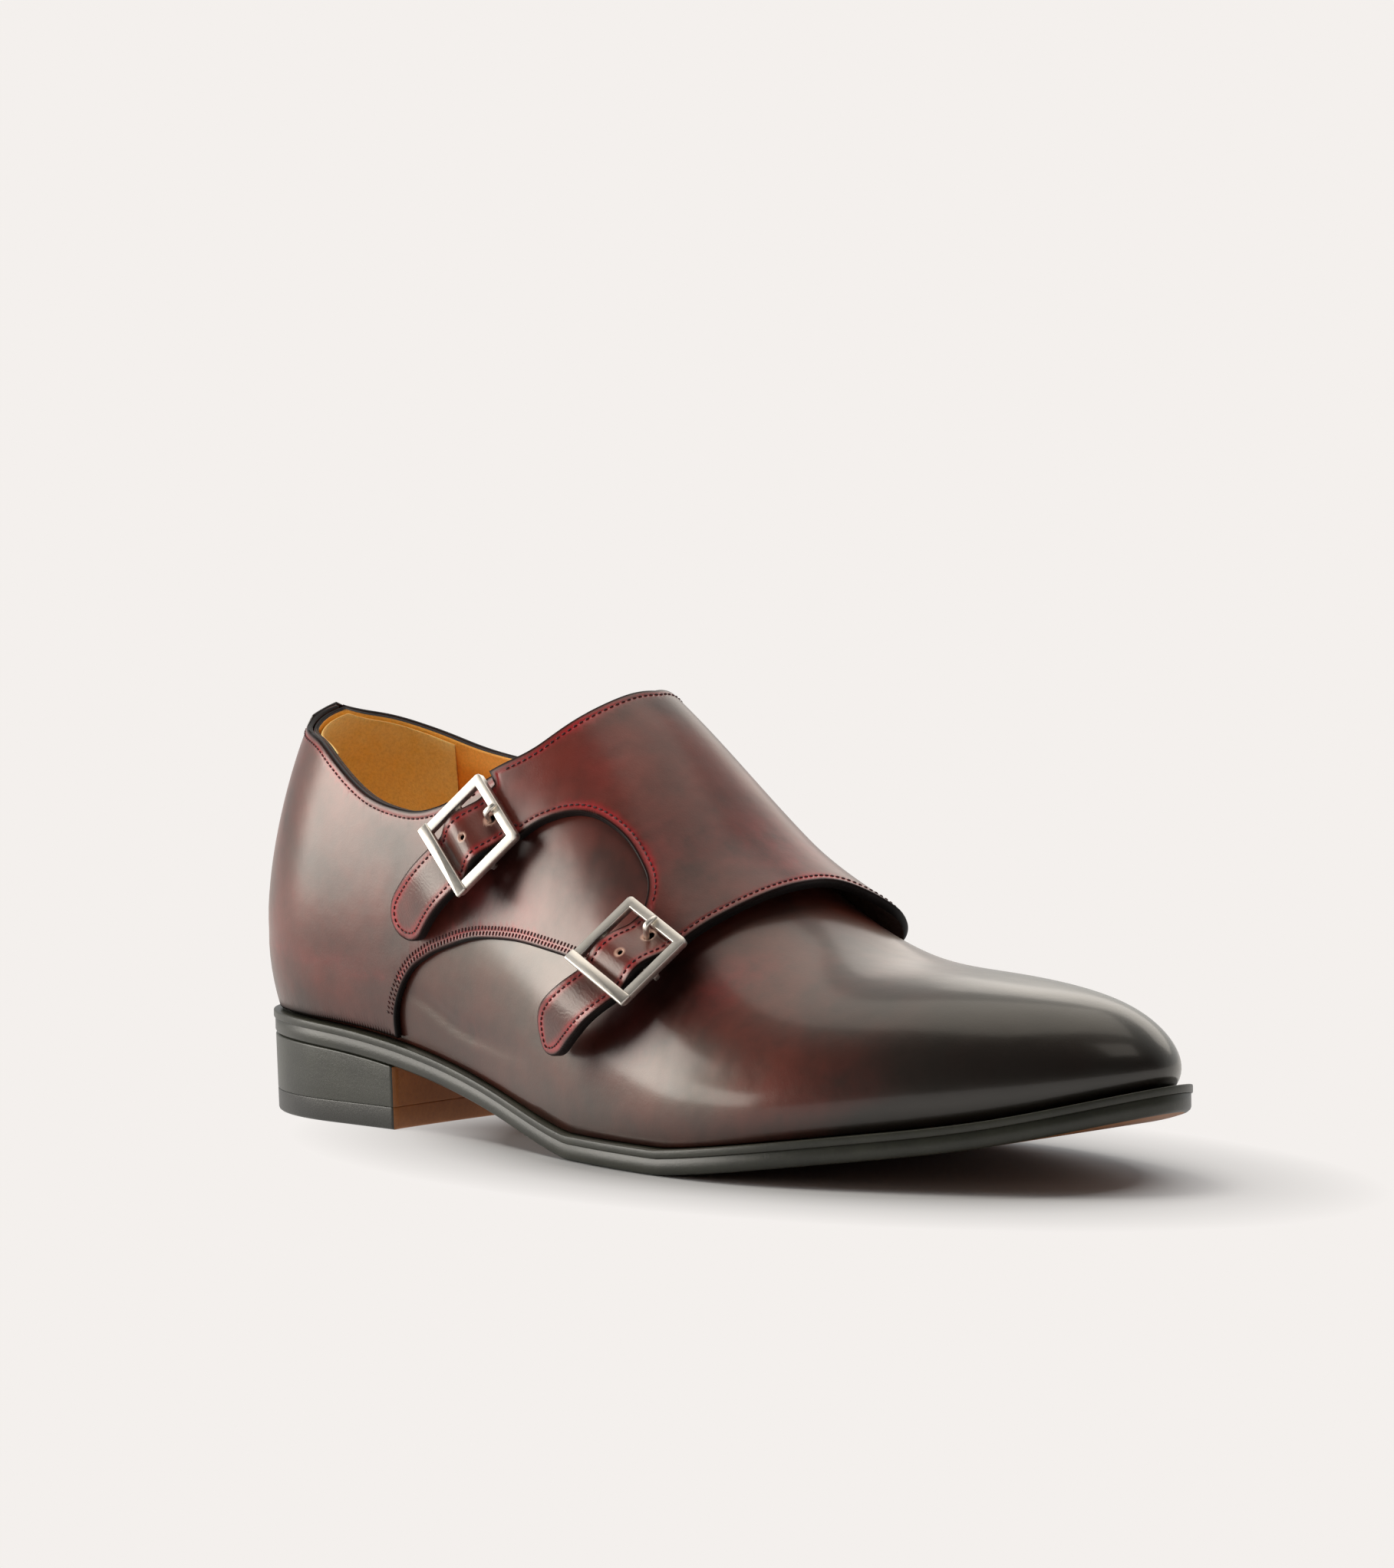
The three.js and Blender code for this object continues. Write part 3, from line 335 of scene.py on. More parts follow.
def burgundy_calf(name, deep, clear, polish, gloss):
    """Box calf in dark red, burnished by hand with darker creams, which leaves it patchy. The marks on
    the mesh say where it is dark, partly from painted shade and shadow, where it is clear red or worn, and
    where painted shadow and dull edge paint take its shine."""
    material = bpy.data.materials.new(name)
    tree = new_tree(material)
    place = node(tree, "TexCoord").outputs["Object"]
    shade, redness, worn, unbrushed, strap_way, strap_bent = (
        node(tree, "Attribute", attribute_name=mark).outputs["Fac"]
        for mark in ("shade", "redness", "worn", "unbrushed", "strap_way", "strap_bent"))
    # Cream is rubbed in with a cloth, which leaves clouds some 8 mm and 30 mm wide.
    clouds = node(tree, "TexNoise", Vector=place, Scale=38.0, Detail=4.0, Roughness=0.55)
    patches = node(tree, "TexNoise", Vector=place, Scale=120.0, Detail=5.0, Roughness=0.6)
    cloud = node(tree, "ValToRGB", [(0.36, 0.0), (0.66, 1.0)], Fac=clouds)
    patch = node(tree, "ValToRGB", [(0.35, 0.0), (0.7, 1.0)], Fac=patches)
    rubbed = node(tree, "Math", operation="MULTIPLY", input_0=patch, input_1=0.35)
    # Red shows through most where a patch of cream has been rubbed off.
    uncovered = node(tree, "MapRange", Value=patch, To_Min=1.35, To_Max=0.35)
    bare = node(tree, "Math", operation="MULTIPLY", use_clamp=True, input_0=redness, input_1=uncovered)
    red = node(tree, "ValToRGB", [(0.3, "#66241f"), (1.0, "#a01d26")], Fac=redness)
    # Where a hole is punched, the finish is worn to the pale hide.
    # Last, the shade mark darkens it: edge paint, the dark toe and tab, painted shade by the welt, painted
    # shadow.
    layers = (cloud, clear), (rubbed, "#2a0f0d"), (bare, red), (worn, "#c29a8c"), (shade, "#0b0706")
    body = deep
    for share, layer in layers:
        body = node(tree, "Mix", data_type="RGBA", input_0=share, input_6=body, input_7=layer).outputs[2]
    # Calf pores are about 0.15 mm, drawn at 0.4 mm so that the picture can hold them. Under them the
    # hide lies in slow waves that break up what it mirrors.
    pores = node(tree, "TexVoronoi", feature="F1", Vector=place, Scale=2300.0)
    fibre = node(tree, "TexNoise", Vector=place, Scale=900.0, Detail=3.0)
    waves = node(tree, "TexNoise", Vector=place, Scale=75.0, Detail=2.0)
    fine = node(tree, "Math", operation="MULTIPLY_ADD", input_0=pores, input_1=0.6, input_2=fibre)
    slow = node(tree, "Bump", Height=waves, Strength=0.5, Distance=0.0006)
    # Strap ends wrinkle across the way they run, about one wrinkle for each millimetre.
    waver = node(tree, "Math", operation="MULTIPLY_ADD", input_0=patches, input_1=9.0, input_2=strap_way)
    turns = node(tree, "Math", operation="MULTIPLY", input_0=waver, input_1=5.2)
    wrinkle = node(tree, "Math", operation="SINE", input_0=turns)
    wrinkles = node(tree, "Math", operation="MULTIPLY", input_0=wrinkle, input_1=strap_bent)
    across = node(tree, "Bump", Height=wrinkles, Strength=0.35, Distance=0.00006, Normal=slow)
    bump = node(tree, "Bump", Height=fine, Strength=0.14, Distance=0.00012, Normal=across)
    dull = node(tree, "ValToRGB", [(0.2, 0.44), (0.8, 0.33)], Fac=clouds)
    # Painted shadow: under the straps and the flap's edge, and on dull edge paint, the shine is taken away.
    wax, shine = (node(tree, "MapRange", Value=unbrushed, To_Min=most, To_Max=0.05) for most in (polish, 0.5))
    surface = node(tree, "BsdfPrincipled", Base_Color=body, Roughness=dull, Normal=bump, IOR=1.5,
                   Specular_IOR_Level=shine, Coat_Weight=wax, Coat_Roughness=gloss, Coat_Tint="#f8f5e4")
    node(tree, "OutputMaterial", Surface=surface)
    return material


def plain_leather(name, first, second, cloud_scale, rough, grain_scale, grain, sheen=0.0, specular=0.5):
    """A leather or fibre surface: two tones in clouds, and a fine grain in relief."""
    material = bpy.data.materials.new(name)
    tree = new_tree(material)
    place = node(tree, "TexCoord").outputs["Object"]
    clouds = node(tree, "TexNoise", Vector=place, Scale=cloud_scale, Detail=5.0, Roughness=0.6)
    nap = node(tree, "TexNoise", Vector=place, Scale=grain_scale, Detail=4.0, Roughness=0.65)
    layers = (clouds, [(0.35, 0.0), (0.68, 1.0)], second), (nap, [(0.3, 0.18), (0.6, 0.0)], "#140c08")
    tone = first
    for noise, stops, layer in layers:
        share = node(tree, "ValToRGB", stops, Fac=noise)
        tone = node(tree, "Mix", data_type="RGBA", input_0=share, input_6=tone, input_7=layer).outputs[2]
    bump = node(tree, "Bump", Height=nap, Strength=grain, Distance=0.0002)
    surface = node(tree, "BsdfPrincipled", Base_Color=tone, Roughness=rough, Normal=bump,
                   Specular_IOR_Level=specular, Sheen_Weight=sheen, Sheen_Tint=first)
    node(tree, "OutputMaterial", Surface=surface)
    return material


# Vamp calf: dyed a shade deeper than the quarters, and waxed to a mirror over the toe.
VAMP_CALF = burgundy_calf("vamp_calf", "#29110c", "#5c271d", 0.66, 0.17)
# Quarter calf: the same hide with more red left in it.
QUARTER_CALF = burgundy_calf("quarter_calf", "#361712", "#6a2c24", 0.42, 0.25)
# Edge paint: black and waxed, so it shows as a thin dark line with little shine.
EDGE_PAINT = plain_leather("edge_paint", "#060404", "#120b0a", 90, 0.62, 1600, 0.3, specular=0.25)
# The flesh side of the leather is a dull brown nap.
FLESH_SIDE = plain_leather("flesh_side", "#4a2c20", "#5c3a28", 120, 0.85, 1400, 0.8)


def make_piece(name, points, faces, materials, face_kinds=None):
    """A mesh object from points in millimetres, moved so that the heel's middle is at the origin."""
    mesh = bpy.data.meshes.new(name)
    place = (np.asarray(points, float) - [HEEL_BREAST / 2, 0, 0]) / 1000
    mesh.from_pydata(place.tolist(), [], [tuple(int(i) for i in f) for f in faces])
    for material in materials:
        mesh.materials.append(material)
    if face_kinds is not None:
        mesh.polygons.foreach_set("material_index", np.asarray(face_kinds, np.int32))
    mesh.polygons.foreach_set("use_smooth", np.ones(len(mesh.polygons), bool))
    mesh.update()
    made = bpy.data.objects.new(name, mesh)
    scene.collection.objects.link(made)
    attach(made, "root")
    return made


def add_marks(piece, **marks):
    """Named numbers kept at the mesh's points, for its material to read."""
    for mark, values in marks.items():
        attribute = piece.data.attributes.new(mark, "FLOAT", "POINT")
        attribute.data.foreach_set("value", np.asarray(values, np.float32))


def blobs(points, rows):
    """Soft round patches: each row is x, y, z in millimetres, a radius and a strength."""
    total = np.zeros(len(points))
    for x, y, z, radius, strength in rows:
        total += strength * np.exp(-((points - [x, y, z]) ** 2).sum(1) / radius ** 2)
    return total


def without_repeats(corners):
    """A face's corners, each once. Fewer than three left make no face."""
    return list(dict.fromkeys(corners))


COLLAR_STEPS, RIDGE_STEPS, WALL_ROWS = 160, 170, 64


def wall_piece(name, heights, materials, relief=None):
    """The wall over the last from the feather edge up to the top line, as a closed skin whose outer
    and inner faces lie at the two heights. Each side of the foot is one sheet, joined on the ridge."""
    steps = np.linspace(0, 1, COLLAR_STEPS + 1)
    collar = TOP_LINE["along"](steps)
    columns = np.concatenate([collar, np.linspace(collar[-1], 1.0, RIDGE_STEPS + 1)[1:]])
    rows = np.linspace(0, 1, WALL_ROWS + 1)
    at_collar = 1 - smoothstep(np.arange(len(columns)), 110, 150)[:, None]
    pared = 1 - (1 - PARED_TO) * at_collar * smoothstep(rows, 1 - PARED_BELOW, 1)[None, :]
    names, points, places, faces, kinds = {}, [], [], [], []

    def block(side, layer):
        """Point numbers of one side's sheet. The two sides share those at the ends and on the ridge."""
        top = TOP_LINE["lateral" if side < 0 else "medial"](steps)
        top = np.concatenate([top[:-1], np.zeros(RIDGE_STEPS + 1)])
        around = side * (1.0 + (top[:, None] - 1.0) * rows[None, :])
        along = np.repeat(columns[:, None], len(rows), 1)
        height = heights[layer] * pared
        if layer == 0 and relief is not None:
            height = height + relief(over_last(along, around, height))
        place = over_last(along, around, height)
        if layer == 1:
            place[:, 0] = beside_feather(columns, float(side), heights[1])
        index = np.zeros(along.shape, int)
        for i in range(len(columns)):
            for j in range(len(rows)):
                shared = i in (0, len(columns) - 1) or (j == len(rows) - 1 and i >= COLLAR_STEPS)
                key = (-1 if shared else side, i, j, layer)
                if key not in names:
                    names[key] = len(points)
                    points.append(place[i, j])
                    places.append((along[i, j], around[i, j]))
                index[i, j] = names[key]
        return index

    def add_face(corners, turned, kind):
        corners = without_repeats(corners[::-1] if turned else corners)
        if len(corners) > 2:
            faces.append(corners)
            kinds.append(kind)

    blocks = {(side, layer): block(side, layer) for side in (-1, 1) for layer in (0, 1)}
    for side in (-1, 1):
        outer, inner = blocks[side, 0], blocks[side, 1]
        for layer, index in enumerate((outer, inner)):
            for i in range(len(columns) - 1):
                for j in range(len(rows) - 1):
                    corners = (index[i, j], index[i + 1, j], index[i + 1, j + 1], index[i, j + 1])
                    add_face(corners, (side < 0) != (layer == 0), layer)
        for i in range(len(columns) - 1):
            for j in ([0, len(rows) - 1] if i < COLLAR_STEPS else [0]):
                corners = (outer[i, j], inner[i, j], inner[i + 1, j], outer[i + 1, j])
                add_face(corners, (side < 0) != (j == 0), 2)
    return make_piece(name, points, faces, materials, kinds), np.array(places), np.array(points)


def through_points(points, count):
    """A smooth line through a few chosen points."""
    p = np.array(points, float)
    last = len(p) - 1
    at = np.linspace(0, last, count + 1)
    i = np.minimum(at.astype(int), last - 1)
    t = (at - i)[:, None]
    p0, p1, p2, p3 = p[np.maximum(i - 1, 0)], p[i], p[i + 1], p[np.minimum(i + 2, last)]
    v0, v1 = (p2 - p0) / 2, (p3 - p1) / 2
    cubic, square = 2 * p1 - 2 * p2 + v0 + v1, 3 * p2 - 3 * p1 - 2 * v0 - v1
    return cubic * t ** 3 + square * t ** 2 + v0 * t + p1


def trough(points, line, width, depth):
    """A soft fold pressed in along a line of places on the last."""
    middle = over_last(*through_points(line, 60).T, 0.0)
    near = np.zeros(points.shape[:-1])
    for k, p in enumerate(middle):
        fade = math.sin(math.pi * (k + 0.5) / len(middle)) ** 0.5
        near = np.maximum(near, fade * np.exp(-((points - p) ** 2).sum(-1) / width ** 2))
    return -depth * near


# The waist is pulled in tight under the quarter, which leaves one shallow fold there.
WAIST_FOLD = [(0.328, -0.967), (0.348, -0.967), (0.378, -0.967), (0.410, -0.953), (0.443, -0.933)]
FOLD_WIDTH, FOLD_DEPTH = 2.2, 0.55
VAMP_RED = [
    (219.5, -41.4, 20, 20, 0.26), (240, -35, 19, 16, 0.26), (198, -46, 20, 16, 0.2), (95, -32, 27, 15, 0.35),
    (165, -44, 30, 14, 0.35), (190, -25, 50, 12, 0.35), (184, -35, 44, 9, 0.35), (150, -35, 50, 14, 0.5),
]
# Painted shadow under the lower strap and the flap's edge: the leather is darkened there and has no shine.
VAMP_PAINTED_SHADOW = [
    (149, -44, 27, 6, 0.7), (157, -44, 32, 8, 0.9), (164, -42, 38, 9, 1.0), (171, -38, 45.5, 8, 0.9),
    (174, -34, 50, 6, 0.6),
]
vamp, places, points = wall_piece("vamp_skin", (0.0, -1.1), [VAMP_CALF, FLESH_SIDE, EDGE_PAINT],
                                  lambda points: trough(points, WAIST_FOLD, FOLD_WIDTH, FOLD_DEPTH))
# Painted shadow darkens the vamp and takes its shine where the strap and the flap cast shade.
unbrushed = np.clip(blobs(points, VAMP_PAINTED_SHADOW), 0, 1)
toe_dark = 0.95 * smoothstep(points[:, 0], 200, 250)
# Darker towards the welt: painted shade along the foot of the vamp.
low_dark = 0.4 * smoothstep(np.abs(places[:, 1]), 0.9, 1.0)
add_marks(vamp, shade=np.clip(toe_dark + low_dark + 0.75 * unbrushed, 0, 0.95), unbrushed=unbrushed,
          redness=np.clip(blobs(points, VAMP_RED) + 0.06, 0, 1))
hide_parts("upper")

# Lining
# The lining is vegetable-tanned leather, tan and smooth. It is pasted inside the upper's wall and
# trimmed with it at the collar.
LINING_LEATHER = plain_leather("lining_leather", "#ffbf5a", "#ffb44a", 60, 0.55, 1500, 0.35)
lining, _, _ = wall_piece("lining", (-1.15, -UPPER_WALL), [LINING_LEATHER, LINING_LEATHER, EDGE_PAINT])

# Heel grip
# The grip is one curved sheet of soft pale suede, sewn round the inside of the heel with its flesh
# side out, so that the foot does not slip. Its cut edge is left raw.
GRIP_SUEDE = plain_leather("grip_suede", "#fff0a4", "#ffe68c", 90, 0.95, 1300, 0.5, sheen=0.45)
GRIP_EDGE = plain_leather("grip_edge", "#e0a860", "#d09850", 90, 0.9, 1300, 0.6)
GRIP_REACH, GRIP_FOOT, GRIP_LEATHER, BELOW_COLLAR = 0.212, 0.985, 0.6, 0.004
# Millimetres for one unit of along and of around, near enough to lay a sheet flat
FLAT = np.array([420.0, 110.0])
# Rows of points beside a cut edge, and the row of stitches in its groove, in from the edge
INSETS = (0.15, 0.35, 0.6, 0.95, 1.45, 1.75, 2.05, 2.35, 2.75)
STITCH_ROW, GROOVE_DEPTH, GROOVE_WIDTH = 2.05, 0.13, 0.28
# An edge is rounded over by a share of its leather, up to the most. A loop of fewer points than
# these is a punched hole, which has no stitches beside it.
ROUND_SHARE, ROUND_MOST, HOLE_POINTS = 0.32, 0.5, 60


def even(value):
    """The same thickness or lift all over a sheet."""
    return lambda s, r: np.full(np.shape(s), value)


def on_sheet(places, lift_at):
    s, r = places.T
    return over_last(s, r, lift_at(s, r))


def inside_loop(points, loop):
    """Which points lie inside a closed loop, by crossings."""
    x, y = points[:, 0], points[:, 1]
    within = np.zeros(len(points), bool)
    for (x0, y0), (x1, y1) in zip(loop, np.roll(loop, -1, axis=0)):
        if y0 != y1:
            within ^= ((y0 > y) != (y1 > y)) & (x < (x1 - x0) * (y - y0) / (y1 - y0) + x0)
    return within


def in_leather(points, solids, holes):
    """Which flat points lie in a solid loop and in no hole."""
    within = np.zeros(len(points), bool)
    for loop in solids:
        within |= inside_loop(points, loop)
    for loop in holes:
        within &= ~inside_loop(points, loop)
    return within


def triangles_in(points, parts, solids, holes):
    """Delaunay triangles over flat points that begin with some closed loops, one after another."""
    edges, begin = [], 0
    for part in parts:
        loop = list(range(begin, begin + len(part)))
        edges += zip(loop, loop[1:] + loop[:1])
        begin += len(part)
    made = delaunay_2d_cdt([Vector(p) for p in points.tolist()], edges, [], 0, 1e-7)
    verts, tris = np.array([tuple(v) for v in made[0]]), np.array([tuple(f) for f in made[2]])
    return verts, tris[in_leather(verts[tris].mean(1), solids, holes)]


def border_loops(tris):
    """The triangles' free edges as closed loops, with the sheet on each loop's left."""
    pairs = np.concatenate([tris[:, [0, 1]], tris[:, [1, 2]], tris[:, [2, 0]]])
    present = {(int(a), int(b)) for a, b in pairs}
    follow = {a: b for a, b in present if (b, a) not in present}
    loops = []
    while follow:
        start, step = next(iter(follow.items()))
        loop = [start]
        del follow[start]
        while step != start:
            loop.append(step)
            step = follow.pop(step)
        loops.append(loop)
    return loops


def spaced(loop, lift_at, most=0.7):
    """A loop of places with points added, so that neighbours are at most so many millimetres apart."""
    place = on_sheet(loop, lift_at)
    made = []
    for i in range(len(loop)):
        j = (i + 1) % len(loop)
        cells = max(1, math.ceil(np.linalg.norm(place[j] - place[i]) / most))
        made += [loop[i] + (loop[j] - loop[i]) * k / cells for k in range(cells)]
    return np.array(made)


def moved_in(loop, lift_at, inset, smooth=1):
    """A loop of places moved into the sheet, on its left, by so many millimetres."""
    near = 0.0005
    here = on_sheet(loop, lift_at)
    ahead, over = ((on_sheet(loop + step, lift_at) - here) / near for step in ((near, 0), (0, near)))
    tangent = sum(np.roll(here, -k, 0) - np.roll(here, k, 0) for k in range(1, smooth + 1))
    inward = np.cross(np.cross(ahead, over), tangent)
    inward *= inset / np.linalg.norm(inward, axis=1)[:, None]
    a, b, c = (ahead * ahead).sum(1), (ahead * over).sum(1), (over * over).sum(1)
    p, q = (inward * ahead).sum(1), (inward * over).sum(1)
    return loop + np.stack([p * c - q * b, q * a - p * b], -1) / (a * c - b * b)[:, None]


def nearest(points, targets):
    """The distance from each point to the nearest target."""
    tree = KDTree(len(targets))
    for i, p in enumerate(targets):
        tree.insert(p, i)
    tree.balance()
    return np.array([tree.find(p)[2] for p in points])


def staggered(low, high, spacing):
    """Places in staggered rows over a box of the flat sheet."""
    ys = np.arange(low[1], high[1], spacing * 0.866)
    x, y = np.meshgrid(np.arange(low[0], high[0], spacing), ys)
    x = x + (np.arange(len(ys)) % 2)[:, None] * spacing / 2
    return np.stack([x.ravel(), y.ravel()], -1) / FLAT


def leather_sheet(name, solids, holes, thickness, lift, materials,
                  grid=1.5, fine=None, relief=None, groove=True):
    """Leather cut to flat loops of places and lasted: a rounded painted edge all round, a shallow
    groove for the stitches inside it, a grain face above and a flesh face below."""
    solids, holes = ([np.array(loop) * FLAT for loop in loops] for loops in (solids, holes))
    flat, tris = triangles_in(np.concatenate(solids + holes), solids + holes, solids, holes)
    borders = [spaced(flat[loop] / FLAT, lift) for loop in border_loops(tris)]
    long_borders = [b for b in borders if len(b) > HOLE_POINTS]
    rim = np.concatenate(borders)
    rim_place, outer_place = on_sheet(rim, lift), on_sheet(np.concatenate(long_borders), lift)
    # Rows of places, and the least distance that each keeps from the rim
    rows = [(np.concatenate([moved_in(b, lift, inset) for b in borders]), inset * 0.85) for inset in INSETS]
    low, high = rim.min(0) * FLAT, rim.max(0) * FLAT
    middle = staggered(low, high, grid)
    if fine is not None:
        close = staggered(low, high, grid / 2)
        rows.append((close[fine(*close.T)], INSETS[-1] + 0.3))
        middle = middle[~fine(*middle.T)]
    rows.insert(len(INSETS), (middle, INSETS[-1] + 0.4))
    wanted = [rim]
    for row, least in rows:
        row = row[in_leather(row * FLAT, solids, holes)]
        wanted.append(row[nearest(on_sheet(row, lift), rim_place) > least])
    flat, tris = triangles_in(np.concatenate(wanted) * FLAT, borders, solids, holes)
    s, r = (flat / FLAT).T
    height, thick = lift(s, r), thickness(s, r)
    under = over_last(s, r, height)
    away, from_edge = nearest(under, rim_place), nearest(under, outer_place)
    round_over = np.minimum(ROUND_MOST, thick * ROUND_SHARE)
    fall = round_over * (1 - np.sqrt(1 - (1 - np.clip(away / round_over, 0, 1)) ** 2))
    if groove:
        hollow = GROOVE_DEPTH * np.exp(-((from_edge - STITCH_ROW) / GROOVE_WIDTH) ** 2)
        fall = fall + hollow * (np.abs(r) < 0.965) * smoothstep(s, 0.018, 0.03)
    if relief is not None:
        fall = fall - relief(under)
    points = np.concatenate([over_last(s, r, height + thick - fall), under])
    count = len(flat)
    faces, kinds = [*tris, *(tris[:, ::-1] + count)], [0] * len(tris) + [2] * len(tris)
    for loop in border_loops(tris):
        for a, b in zip(loop, loop[1:] + loop[:1]):
            faces.append((b, a, a + count, b + count))
            kinds.append(1)
    made = make_piece(name, points, faces, materials, kinds)
    return made, long_borders, [np.concatenate([v, v]) for v in (s, r, from_edge, away, under)]


grip_along = np.linspace(-GRIP_REACH, GRIP_REACH, 90)
steps = np.linspace(0, 1, 200)
collar_step = np.interp(np.abs(grip_along), TOP_LINE["along"](steps), steps)
grip_top = np.where(grip_along < 0, TOP_LINE["medial"](collar_step), TOP_LINE["lateral"](collar_step))
grip_loop = np.concatenate([
    np.stack([grip_along, -(grip_top + BELOW_COLLAR)], -1),
    [(GRIP_REACH + 0.004, -0.86), (GRIP_REACH - 0.006, -GRIP_FOOT)],
    np.stack([np.linspace(GRIP_REACH - 0.01, -GRIP_REACH + 0.01, 60), np.full(60, -GRIP_FOOT)], -1),
    [(-GRIP_REACH + 0.006, -GRIP_FOOT), (-GRIP_REACH - 0.004, -0.86)],
])
grip, _, _ = leather_sheet(
    "heel_grip", [grip_loop], [], even(GRIP_LEATHER), even(-UPPER_WALL - GRIP_LEATHER - 0.05),
    [GRIP_SUEDE, GRIP_EDGE, GRIP_SUEDE], grid=2.0, groove=False)

# Lateral quarter
# The outer quarter is calf with a painted edge. It runs from the back seam to a curved front edge,
# where two rows of stitches hold it down over the vamp.
QUARTER_LEATHER, OVER_UPPER = 1.4, 1.5 * GAP
QUARTER_MATERIALS = [QUARTER_CALF, EDGE_PAINT, FLESH_SIDE]
BACK_SEAM, FEATHER_ROW = 0.0004, 0.997
QUARTER_FRONT = [
    (0.314, -FEATHER_ROW), (0.316, -0.982), (0.324, -0.966), (0.336, -0.949), (0.353, -0.929),
    (0.376, -0.896), (0.409, -0.836), (0.442, -0.776), (0.474, -0.727), (0.500, -0.692), (0.518, -0.650),
    (0.528, -0.600), (0.539, -0.530), (0.544, -0.450), (0.535, -0.380), (0.508, -0.345), (0.470, -0.350),
    (0.440, -0.420),
]
# The stiff counter inside the heel ends part of the way up, which shows as a soft step; a red-brown line
# along it is painted shade at the step.
COUNTER_LINE = [
    (0.060, -0.905), (0.115, -0.927), (0.175, -0.940), (0.225, -0.947), (0.260, -0.953), (0.305, -0.960),
]
COUNTER_WIDTH, COUNTER_DEPTH = 3.0, 0.22
QUARTER_RED = [
    (45.7, -29, 35, 12, 0.08), (40.1, -26.8, 82.3, 14, 0.25), (118, -33, 58, 14, 0.45),
    (100, -32, 60, 12, 0.4),
]
# Painted shadow on the quarter under the upper strap and buckle: darker there and without shine.
QUARTER_PAINTED_SHADOW = [
    (103, -30.5, 73.5, 6, 1.0), (111, -31, 75.5, 6, 1.0), (119, -30, 75.8, 4, 0.8), (111, -32, 69, 6, 1.0),
    (110, -33, 63, 5, 0.7), (103, -33, 60, 5, 0.6), (97, -33, 57, 5, 0.5),
]


def top_points(side, first, final, count):
    step = np.linspace(first, final, count + 1)
    around = TOP_LINE["lateral" if side < 0 else "medial"](step)
    return np.stack([TOP_LINE["along"](step), side * around], -1)


def edge_tones(s, r, edge, on_strap=0.0):
    """Marks along a cut edge: the black of its paint, painted shade by the sole, and the red inside the
    paint. The back seam is sewn edge to edge, so paint and red fade out there."""
    seam_fade = smoothstep(s, 0.018, 0.045)
    black_edge = 0.95 * seam_fade * (1 - smoothstep(edge, 0.5 - 0.1 * on_strap, 1.1 - 0.3 * on_strap))
    # Painted shade, darker towards the sole.
    low_dark = 0.5 * smoothstep(np.abs(r), 0.96, 1.0)
    red_edge = np.exp(-((edge - 1.9) / (1.1 + 0.5 * on_strap)) ** 2) * (np.abs(r) < 0.96) * seam_fade
    return black_edge, low_dark, red_edge


quarter_lift, quarter_thickness = even(OVER_UPPER), even(QUARTER_LEATHER)
quarter_loop = np.concatenate([
    [(BACK_SEAM, -FEATHER_ROW)], through_points(QUARTER_FRONT, 170), top_points(-1, 0.76, 0.01, 110)])
quarter, quarter_borders, (s, r, edge, _, place) = leather_sheet(
    "quarter_lateral_skin", [quarter_loop], [], quarter_thickness, quarter_lift, QUARTER_MATERIALS,
    relief=lambda points: trough(points, COUNTER_LINE, COUNTER_WIDTH, COUNTER_DEPTH))
unbrushed = np.clip(blobs(place, QUARTER_PAINTED_SHADOW), 0, 1)
black_edge, low_dark, red_edge = edge_tones(s, r, edge)
# Painted shade along the counter's step, added to the red mark.
counter_away = nearest(place, over_last(*through_points(COUNTER_LINE, 60).T, 0.0))
counter_shade = 0.42 * np.exp(-(counter_away / 3.5) ** 2)
add_marks(quarter, shade=np.clip(black_edge + low_dark + 0.8 * unbrushed, 0, 1),
          unbrushed=np.maximum(unbrushed, black_edge),
          redness=np.clip(0.8 * red_edge + counter_shade + blobs(place, QUARTER_RED) + 0.06, 0, 1))
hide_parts("quarter_lateral")

# Medial quarter, flap and straps
# The inner quarter runs on over the instep as one thick calf flap. Its end is cut into two straps,
# each punched with a spare hole and a slot for the prong. A strap passes through a buckle that is
# fixed to the leather below, and has the buckle's own frame: y up the strap, x across it, z out.
FLAP_LEATHER, FLAP_FLARE, STRAP_WIDTH, STRAP_TAIL = 2.4, 1.6, 15.0, 25.5
BUCKLE_ACROSS, BUCKLE_ALONG, BUCKLE_BAR, BUCKLE_STAND = 23.0, 22.3, 2.6, 1.8
PIN_RADIUS, PRONG_WALL, PRONG_WIDTH = 0.7, 0.5, 1.6
SLOT_FROM, SLOT_TO, HOLE_AT, HOLE_RADIUS = 5.4, 8.0, -1.2, 0.65
OVER_QUARTER = OVER_UPPER + QUARTER_LEATHER + GAP
EYE_RADIUS = PIN_RADIUS + GAP + PRONG_WALL
PIN_HEIGHT = OVER_QUARTER + EYE_RADIUS
STRAP_HUMP = PIN_HEIGHT + EYE_RADIUS + 2 * GAP - OVER_QUARTER
STRAPS = [
    {"name": "upper", "along": 0.4005, "around": -0.731, "turn": 42, "tip": 10, "bend": -6, "tail": 1.0},
    {"name": "lower", "along": 0.5363, "around": -0.624, "turn": 28, "tip": 13, "bend": -12, "tail": 0.64},
]
CUT_OUT = [
    (0.431, -0.645), (0.448, -0.561), (0.468, -0.478), (0.485, -0.435), (0.503, -0.421), (0.520, -0.441),
    (0.527, -0.471), (0.530, -0.512),
]
